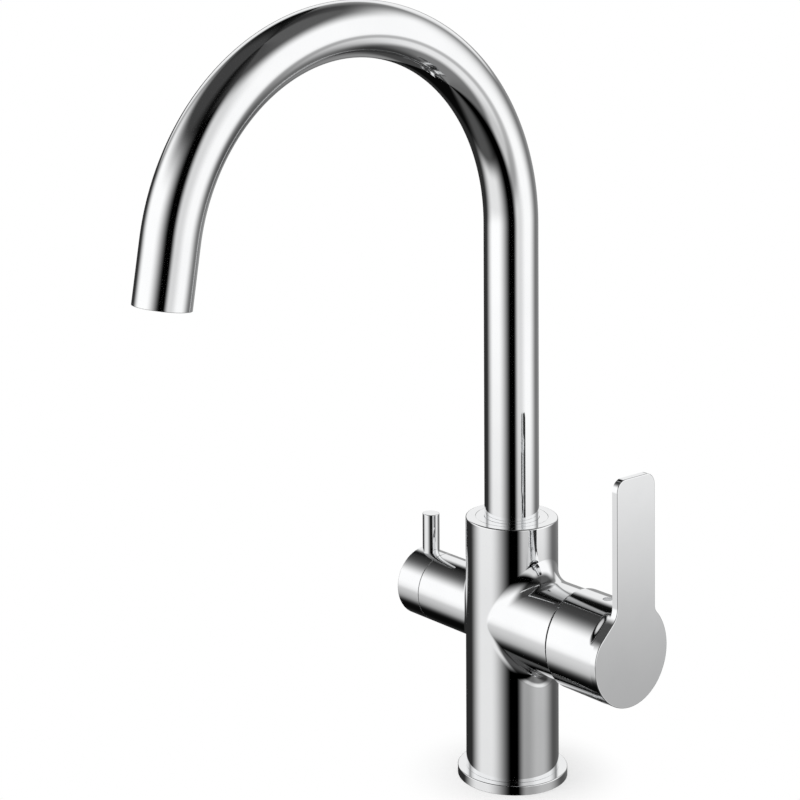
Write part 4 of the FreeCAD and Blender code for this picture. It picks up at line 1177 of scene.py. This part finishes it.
class Lever(Assembly):
    """The lever: a deep skirt that runs into a round plate with an upright blade."""

    body = "lever"
    sizes = LeverSizes()
    around = 192
    around_plug = 48
    arc_step = 3.0  # degrees
    least_arc_steps = 4
    same_place = 1e-6  # millimetres
    window_rows = 5
    window_reach = 8
    outline_steps = 24
    hollow_steps = 17
    edge_steps = 6

    def build(self) -> None:
        """Builds and hands over the lever and the plug in its skirt."""
        s = self.sizes
        skin = Skin()
        spindle = Spindle((0, 0, s.axis), (1, 0, 0), (0, 0, 1), (0, 1, 0))
        angles = circle(self.around, -math.pi)
        outline, outward = self._outline()
        self._skirt(skin, spindle, angles)
        under = self._blend(skin, spindle, angles, outline)
        self._plate(skin, outline, outward, under)
        self.hand_over(skin.make("lever_casting"), "lever_handle")
        self.hand_over(self.turned("skirt_plug", upright(s.screw_place, 0, s.axis), [
            (0, s.plug_low), (s.plug, s.plug_low), (s.plug, s.plug_top, s.plug_edge), (0, s.plug_top)],
            circle(self.around_plug)), "index_plug", slot="plug_plastic")

    def _placed(self, flat: Array, depth: float) -> Array:
        """Carries flat points (across, up) to their places at a depth along the mixer's axis."""
        return np.column_stack([np.full(len(flat), depth), flat[:, 0], flat[:, 1] + self.sizes.axis])

    def _outline(self) -> tuple[Array, Array]:
        """Draws the plate with its blade.

        Returns:
            Points (across, up) and outward directions, in order.
        """
        s = self.sizes
        points: list[tuple[float, float]] = []
        ways: list[tuple[float, float]] = []

        def arc(across: float, up: float, radius: float, start: float, end: float, side: float = 1.0) -> None:
            """Adds an arc about a point from one angle to another; side is -1 where it is hollow."""
            count = max(self.least_arc_steps, int(abs(end - start) / self.arc_step))
            for step in range(count + 1):
                angle = math.radians(start + (end - start) * step / count)
                points.append((across + radius * math.cos(angle), up + radius * math.sin(angle)))
                ways.append((side * math.cos(angle), side * math.sin(angle)))

        across = s.blade_rear + s.shoulder
        rise = math.sqrt((s.plate + s.shoulder) ** 2 - across ** 2)
        meet = math.degrees(math.atan2(rise, across))
        arc(across, s.rise + rise, s.shoulder, 180 + meet, 180, -1.0)
        arc(s.blade_rear - s.corner, s.blade_top - s.corner, s.corner, 0, 90)
        arc(s.corner - s.blade_front, s.blade_top - s.corner, s.corner, 90, 180)
        sweep = math.radians(s.sweep)
        cheek = (s.plate - s.cheek + s.cheek * math.cos(sweep), s.rise + s.cheek * math.sin(sweep))
        neck = s.blade_front + s.neck * (1 - math.cos(sweep))
        start = cheek[1] + (cheek[0] - neck) / math.tan(sweep) + s.neck * math.sin(sweep)
        arc(-s.blade_front - s.neck, start, s.neck, 0, -s.sweep, -1.0)
        arc(s.cheek - s.plate, s.rise, s.cheek, 180 - s.sweep, 180)
        arc(0, s.rise, s.plate, 180, 360 + meet)
        spots, keep = np.array(points), []
        for place in range(len(spots)):
            if np.linalg.norm(spots[place] - spots[place - 1]) > self.same_place:
                keep.append(place)
        return spots[keep], np.array(ways)[keep]

    def _skirt(self, skin: Skin, spindle: Spindle, angles: Array) -> None:
        """Adds the skirt inside and out, with the hole for the plug."""
        s = self.sizes
        inner = s.skirt - s.wall
        hole = SideHole(s.screw_place, s.screw_hole, s.screw_place - s.screw_window,
                        s.screw_place + s.screw_window, self.window_reach)
        window = np.linspace(hole.low, hole.high, self.window_rows)
        low = s.rim + s.taper
        outside = np.array([s.rim_band, *s.skirt_rows, *window, s.floor])
        within = np.array([low, *s.skirt_rows[1:], *window, s.floor])
        drilled(skin, spindle, s.skirt, outside, angles, [hole])
        drilled(skin, spindle, inner, within, angles, [hole], -1.0)
        edge = hole.edge(inner, hole.turns)
        hole.wall(skin, spindle, s.skirt, lambda turns: spindle.points(inner, edge[:, 1], edge[:, 0]))
        skin.turn(spindle, [(s.boss, s.boss_start), (s.boss, s.floor), (inner, s.floor)], angles)
        skin.turn(spindle, [(inner, low), (s.skirt - s.rim_wall, s.rim), (s.skirt, s.rim, s.rim_edge),
                            (s.skirt, s.rim_band)], angles)
        ring = np.stack([s.boss * np.sin(angles[:-1]), s.boss * np.cos(angles[:-1])], axis=-1)
        half = s.socket
        square = np.array([(half, half), (-half, half), (-half, -half), (half, -half)])
        skin.flat(ring, [square], lambda p: self._placed(p, s.boss_start), (-1, 0, 0))
        for a, b in zip(square, np.roll(square, -1, axis=0)):
            side = np.stack([a, b])
            wall = np.stack([self._placed(side, depth) for depth in (s.boss_start, s.socket_floor)])
            skin.grid(wall, np.broadcast_to((0, *(a + b) / (-2 * half)), wall.shape))
        skin.flat(square, [], lambda p: self._placed(p, s.socket_floor), (-1, 0, 0))

    def _blend(self, skin: Skin, spindle: Spindle, angles: Array, outline: Array) -> Array:
        """Runs the skirt into the plate, hollowed beside the long shoulder.

        Args:
            skin: The lever's skin.
            spindle: The mixer's axis.
            angles: Angles round it.
            outline: The plate's outline.

        Returns:
            The skirt's outline at the back of the plate.
        """
        s = self.sizes
        between = np.linspace(0, 1, self.outline_steps, endpoint=False)[:, None]
        dense = np.concatenate([a + (b - a) * between for a, b in zip(outline, np.roll(outline, -1, axis=0))])
        turn, reach = np.arctan2(dense[:, 0], dense[:, 1]), np.linalg.norm(dense, axis=1)
        order = np.argsort(turn)
        limit = np.interp(angles, turn[order], reach[order], period=2 * math.pi)
        target = np.minimum(s.skirt, limit - s.hollow_gap)
        share = np.linspace(0, 1, self.hollow_steps)
        ease = np.clip(share / s.hollow_share, 0, 1)
        ease = ease * ease * (3 - 2 * ease)
        radius = s.skirt + (target - s.skirt)[None] * ease[:, None]
        along = (s.floor + (s.back - s.floor) * share)[:, None]
        points = spindle.points(radius, along, angles[None])
        step = np.gradient(points, axis=0)
        wrapped = np.concatenate([points[:, -2:-1], points, points[:, 1:2]], axis=1)
        normals = np.cross(wrapped[:, 2:] - wrapped[:, :-2], step)
        outward = spindle.normals(1.0, 0.0, np.broadcast_to(angles, radius.shape))
        normals *= np.sign((normals * outward).sum(-1))[..., None]
        skin.grid(points, normals)
        return np.stack([target * np.sin(angles), target * np.cos(angles)], axis=-1)[:-1]

    def _plate(self, skin: Skin, outline: Array, outward: Array, under: Array) -> None:
        """Adds the plate and its blade.

        Args:
            skin: The lever's skin.
            outline: The plate's outline.
            outward: Its outward directions.
            under: The skirt's outline at the back of the plate.
        """
        s = self.sizes
        closed, ways = (np.concatenate([part, part[:1]]) for part in (outline, outward))
        level = np.zeros(len(ways))
        rows = [(self._placed(closed, s.back), np.column_stack([level, ways]))]
        for step in range(self.edge_steps + 1):
            angle = math.radians(90 * step / self.edge_steps)
            inset = closed - ways * s.edge * (1 - math.cos(angle))
            rows.append((self._placed(inset, s.face - s.edge * (1 - math.sin(angle))),
                         np.column_stack([level + math.sin(angle), ways * math.cos(angle)])))
        skin.grid(np.stack([points for points, _ in rows]), np.stack([normals for _, normals in rows]))
        skin.flat(outline - outward * s.edge, [], lambda p: self._placed(p, s.face), (1, 0, 0))
        skin.flat(outline, [under], lambda p: self._placed(p, s.back), (-1, 0, 0))


@dataclass(frozen=True)
class KnobSizes:
    """Sizes of the filter knob and its pin, in millimetres.

    Heights of the pin and of the screw's hole are from the knob's axis, and places along it are from the
    column's axis.
    """

    axis: float = CastingSizes.filter.height
    radius: float = CastingSizes.filter.radius
    start: float = 53.25
    hollow: float = 13.5
    hollow_floor: float = 59.05
    spindle: float = 4.05
    spindle_end: float = 65.7
    end: float = 69.7
    edge: float = 0.5
    start_edge: float = 0.15
    wall_low: float = 54.0
    wall_high: float = 68.7
    pin_place: float = 62.4
    pin: float = 4.5
    pin_seat: float = 14.5
    shank: float = 3.0
    shank_low: float = 9.5
    pin_top: float = 37.5
    pin_edge: float = 0.4
    screw: float = 2.0
    screw_floor: float = 4.1


class FilterKnob(Assembly):
    """The knob at the end of the filter branch and the pin that turns it."""

    body = "filter_knob"
    sizes = KnobSizes()
    around = 192
    around_pin = 96
    wall_rows = 15
    window_low = 3
    window_high = 13
    window_reach = 14

    def build(self) -> None:
        """Builds and hands over the knob and the pin."""
        s = self.sizes
        skin = Skin()
        spindle = Spindle((0, 0, s.axis), (-1, 0, 0), (0, 0, 1), (0, 1, 0))
        angles = circle(self.around, -math.pi / 2)
        heights = np.linspace(s.wall_low, s.wall_high, self.wall_rows)
        skin.turn(spindle, [
            (0, s.spindle_end), (s.spindle, s.spindle_end), (s.spindle, s.hollow_floor),
            (s.hollow, s.hollow_floor), (s.hollow, s.start), (s.radius, s.start, s.start_edge),
            (s.radius, s.wall_low)], angles)
        skin.turn(spindle, [(s.radius, s.wall_high), (s.radius, s.end, s.edge), (0, s.end)], angles)
        low, high = heights[self.window_low], heights[self.window_high]
        holes = [SideHole(s.pin_place, radius, low, high, self.window_reach, angle)
                 for radius, angle in ((s.pin, 0.0), (s.screw, math.pi))]
        drilled(skin, spindle, s.radius, heights, angles, holes)
        for hole, way, floor in ((holes[0], 1.0, s.pin_seat), (holes[1], -1.0, s.screw_floor)):
            axis = Spindle((-s.pin_place, 0, s.axis), (0, 0, way), (-1, 0, 0), (0, way, 0))
            hole.wall(skin, spindle, s.radius, lambda turns: axis.points(hole.radius, floor, turns))
            inner = [(s.shank, floor), (s.shank, s.shank_low), (0, s.shank_low)] if way > 0 else [(0, floor)]
            skin.turn(axis, [(hole.radius, floor), *inner], hole.turns)
        self.hand_over(skin.make("turned_knob"), "filter_knob")
        self.hand_over(self.turned("turning_pin", upright(-s.pin_place, 0, s.axis), [
            (0, s.shank_low), (s.shank, s.shank_low), (s.shank, s.pin_seat), (s.pin, s.pin_seat),
            (s.pin, s.pin_top, s.pin_edge), (0, s.pin_top)], circle(self.around_pin)), "knob_pin")


# --- stage ---


@dataclass(frozen=True)
class CameraSizes:
    """Where the camera stands, in millimetres and degrees, and how far its film is moved.

    The lens is what it would be with the film straight behind it, and shifts are shares of the film's width.
    """

    distance: float = 1166.09
    height: float = 496.61
    azimuth: float = 50.33
    pitch: float = 1.16
    roll: float = 0.25
    aside: float = 77.76
    film: float = 36.0
    lens: float = 103.15
    shift_x: float = 0.0538
    shift_y: float = -0.6864

    def toward(self) -> tuple[float, float]:
        """Level direction from the tap to the camera."""
        turn = math.radians(self.azimuth)
        return math.sin(turn), -math.cos(turn)


class Panel(Enum):
    """The soft panels of the studio, each with its own strength."""

    LEFT = 1.13
    RIGHT = 1.12
    CEILING = 0.07
    BACK = 0.95


@dataclass(frozen=True)
class PanelSizes:
    """Where the panels begin and end: each step has its start, its end and its share.

    Steps are in degrees, round from the camera or up from level, unless they say otherwise.
    """

    left_begin: Step = (-8, -60, 1.0)
    left_end: Step = (-84, -128, 0.97)
    left_lean: float = 0.65
    left_height: tuple[Step, ...] = ((-11, -20, 0.22), (20, 47, 0.95), (-33, -46, 0.9))
    right_begin: tuple[Step, ...] = ((8, 27, 0.7), (34, 62, 0.28))
    right_end: Step = (76, 120, 0.82)
    right_rear: Step = (125, 165, 0.12)
    right_lean: float = 0.6
    right_dip: Step = (-14.5, -22, 0.52)
    right_lift: Step = (-24, -31, 0.34)
    right_height: tuple[Step, ...] = ((28, 58, 0.9), (-38, -52, 0.75))
    lean_start: float = 14.0
    back_round: Step = (0.55, 0.85, 1.0)  # shares of straight behind
    back_low: Step = (5, 12, 1.0)
    back_high: Step = (28, 40, 1.0)
    ceiling_low: Step = (41, 52, 1.0)
    ceiling_side: Step = (-0.15, 0.35, 0.94)  # shares of straight aside
    ceiling_least: float = 0.06
    plain_level: float = 0.92
    steepest: float = 0.9999  # sine of the steepest angle


@dataclass(frozen=True)
class StageSizes:
    """Sizes of the lamp and the floor.

    The lamp's are in metres and watts, the floor's radius and drop in millimetres and its fade in metres.
    """

    lamp_across: float = 1.2
    lamp_power: float = 9.0
    lamp_place: tuple[float, float, float] = (-0.5, -1.1, 1.9)
    floor_radius: float = 900.0
    floor_around: int = 96
    floor_drop: float = 0.05
    floor_colour: float = 0.95
    floor_fade: Step = (0.029, 0.062, 0.5)


class Studio:
    """Pale floor, plain soft light and the camera."""

    camera_sizes = CameraSizes()
    panels = PanelSizes()
    sizes = StageSizes()

    def build(self) -> None:
        """Builds the stage."""
        self._camera()
        self._world()
        self._lamp()
        self._floor()
        bpy.context.scene.view_settings.view_transform = "Standard"

    def _camera(self) -> None:
        """Stands the camera at the photograph's viewing angle.

        Its film stays almost upright while it looks down, as in a view camera, so that uprights stay
        parallel.
        """
        c = self.camera_sizes
        turn, pitch, roll = (math.radians(a) for a in (c.azimuth, c.pitch, c.roll))
        right = Vector((math.cos(turn), math.sin(turn), 0))
        level = Vector((*c.toward(), 0))
        place = (level * c.distance - right * c.aside) * MM
        place.z = c.height * MM
        back = level * math.cos(pitch) + Vector((0, 0, math.sin(pitch)))
        up = back.cross(right)
        right, up = right * math.cos(roll) - up * math.sin(roll), up * math.cos(roll) + right * math.sin(roll)
        ahead = (right * c.shift_x + up * c.shift_y) * c.film / c.lens - back
        data = bpy.data.cameras.new("camera")
        data.lens, data.sensor_width = c.lens * ahead.length, c.film
        away = -ahead.normalized()
        camera, rig = bpy.data.objects.new("camera", data), bpy.data.objects.new("camera_rig", None)
        camera.parent = rig
        camera.matrix_parent_inverse = Matrix((
            (right.x, up.x, away.x, place.x), (right.y, up.y, away.y, place.y),
            (right.z, up.z, away.z, place.z), (0, 0, 0, 1)))
        bpy.context.scene.collection.objects.link(rig)
        bpy.context.scene.collection.objects.link(camera)
        bpy.context.scene.camera = camera

    def _world(self) -> None:
        """Sets soft panels round the tap for its reflections, and white behind it."""
        p = self.panels
        world = bpy.data.worlds.new("studio")
        bpy.context.scene.world = world
        world.use_nodes = True
        world.node_tree.nodes.clear()
        bench = NodeBench(world.node_tree)
        way = bench.add("ShaderNodeTexCoord", output="Generated")
        parts = world.node_tree.nodes.new("ShaderNodeSeparateXYZ")
        bench.join(way, parts.inputs[0])
        x, y, z = (Wire(bench, parts.outputs[i]) for i in range(3))
        front, side = self.camera_sizes.toward()
        ahead = x * front + y * side
        aside = y * front - x * side
        round_ = aside.angle_from(ahead) * (180 / math.pi)
        rise = z.low(p.steepest).high(-p.steepest).asin() * (180 / math.pi)
        lean = (rise + p.lean_start).high(0.0)
        left = round_.grown(p.left_begin) * (round_ + lean * p.left_lean).faded(p.left_end)
        right = round_.grown(*p.right_begin) * (round_ - lean * p.right_lean).faded(p.right_end)
        right = right + round_.grown(p.right_rear)
        right_height = (rise.faded(p.right_dip) + rise.grown(p.right_lift)) * rise.faded(*p.right_height)
        behind = (ahead * -1).grown(p.back_round) * rise.grown(p.back_low) * rise.faded(p.back_high)
        ceiling = rise.grown(p.ceiling_low) * (p.ceiling_least + aside.grown(p.ceiling_side))
        glow = left * rise.faded(*p.left_height) * Panel.LEFT.value + right * right_height * Panel.RIGHT.value
        glow = glow.high(behind * Panel.BACK.value).high(ceiling * Panel.CEILING.value)
        path = world.node_tree.nodes.new("ShaderNodeLightPath")
        camera, glossy, through = (Wire(bench, path.outputs[n]) for n in
                                   ("Is Camera Ray", "Is Glossy Ray", "Is Transmission Ray"))
        white = camera.high(through)
        strength = white + (1 - white) * (glossy * glow + (1 - glossy) * p.plain_level)
        light = bench.add("ShaderNodeBackground", {"Color": (1, 1, 1, 1), "Strength": strength})
        sink = world.node_tree.nodes.new("ShaderNodeOutputWorld")
        bench.join(light, sink.inputs["Surface"])

    def _lamp(self) -> None:
        """Hangs one large soft lamp, which gives the floor its shadow."""
        data = bpy.data.lights.new("soft_lamp", "AREA")
        data.shape, data.size, data.energy = "DISK", self.sizes.lamp_across, self.sizes.lamp_power
        lamp = bpy.data.objects.new("soft_lamp", data)
        place = Vector(self.sizes.lamp_place)
        lamp.location = place
        lamp.rotation_euler = (-place).to_track_quat("-Z", "Y").to_euler()
        lamp.visible_glossy = False
        bpy.context.scene.collection.objects.link(lamp)

    def _floor(self) -> None:
        """Lays the pale floor, which fades to white away from the tap."""
        s, skin = self.sizes, Skin()
        skin.turn(UPRIGHT, [(s.floor_radius, -s.floor_drop), (0, -s.floor_drop)], circle(s.floor_around))
        floor = skin.make("floor")
        made = bpy.data.materials.new("pale_floor")
        made.use_nodes = True
        made.node_tree.nodes.clear()
        bench = NodeBench(made.node_tree)
        place = bench.add("ShaderNodeTexCoord", output="Object")
        reach = bench.add("ShaderNodeVectorMath", {0: place}, output="Value", operation="LENGTH")
        path = bench.add("ShaderNodeLightPath", output="Is Camera Ray")
        dull = bench.add("ShaderNodeBsdfDiffuse", {"Color": (*[s.floor_colour] * 3, 1)})
        white = bench.add("ShaderNodeEmission", {"Color": (1, 1, 1, 1), "Strength": 1.0})
        share = ((1 - s.floor_fade[2]) + reach.grown(s.floor_fade)) * path
        mixed = bench.add("ShaderNodeMixShader", {0: share, 1: dull, 2: white})
        sink = made.node_tree.nodes.new("ShaderNodeOutputMaterial")
        bench.join(mixed, sink.inputs["Surface"])
        floor.data.materials.append(made)
        floor.visible_glossy = False


def dress_nodes(nodes: dict[str, bpy.types.Object], record: dict[str, Any],
                finishes: dict[str, bpy.types.Material]) -> None:
    """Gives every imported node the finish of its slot.

    Args:
        nodes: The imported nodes.
        record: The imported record.
        finishes: Materials by slot.
    """
    for entry in record["subparts"]:
        mesh = nodes[entry["node"]].data
        mesh.materials.clear()
        mesh.materials.append(finishes[entry["material_slot"]])
        LOG.info("node %s: %s", entry["node"], entry["material_slot"])


def main() -> None:
    """Dresses the tap."""
    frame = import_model()
    finishes = {slot: finish.material() for slot, finish in FINISHES.items()}
    dress_nodes(frame["nodes"], frame["record"], finishes)
    for maker in (Casting, FootAndCollar, Spout, Lever, FilterKnob):
        maker(finishes).build()
    Studio().build()


if __name__ == "__main__":
    main()
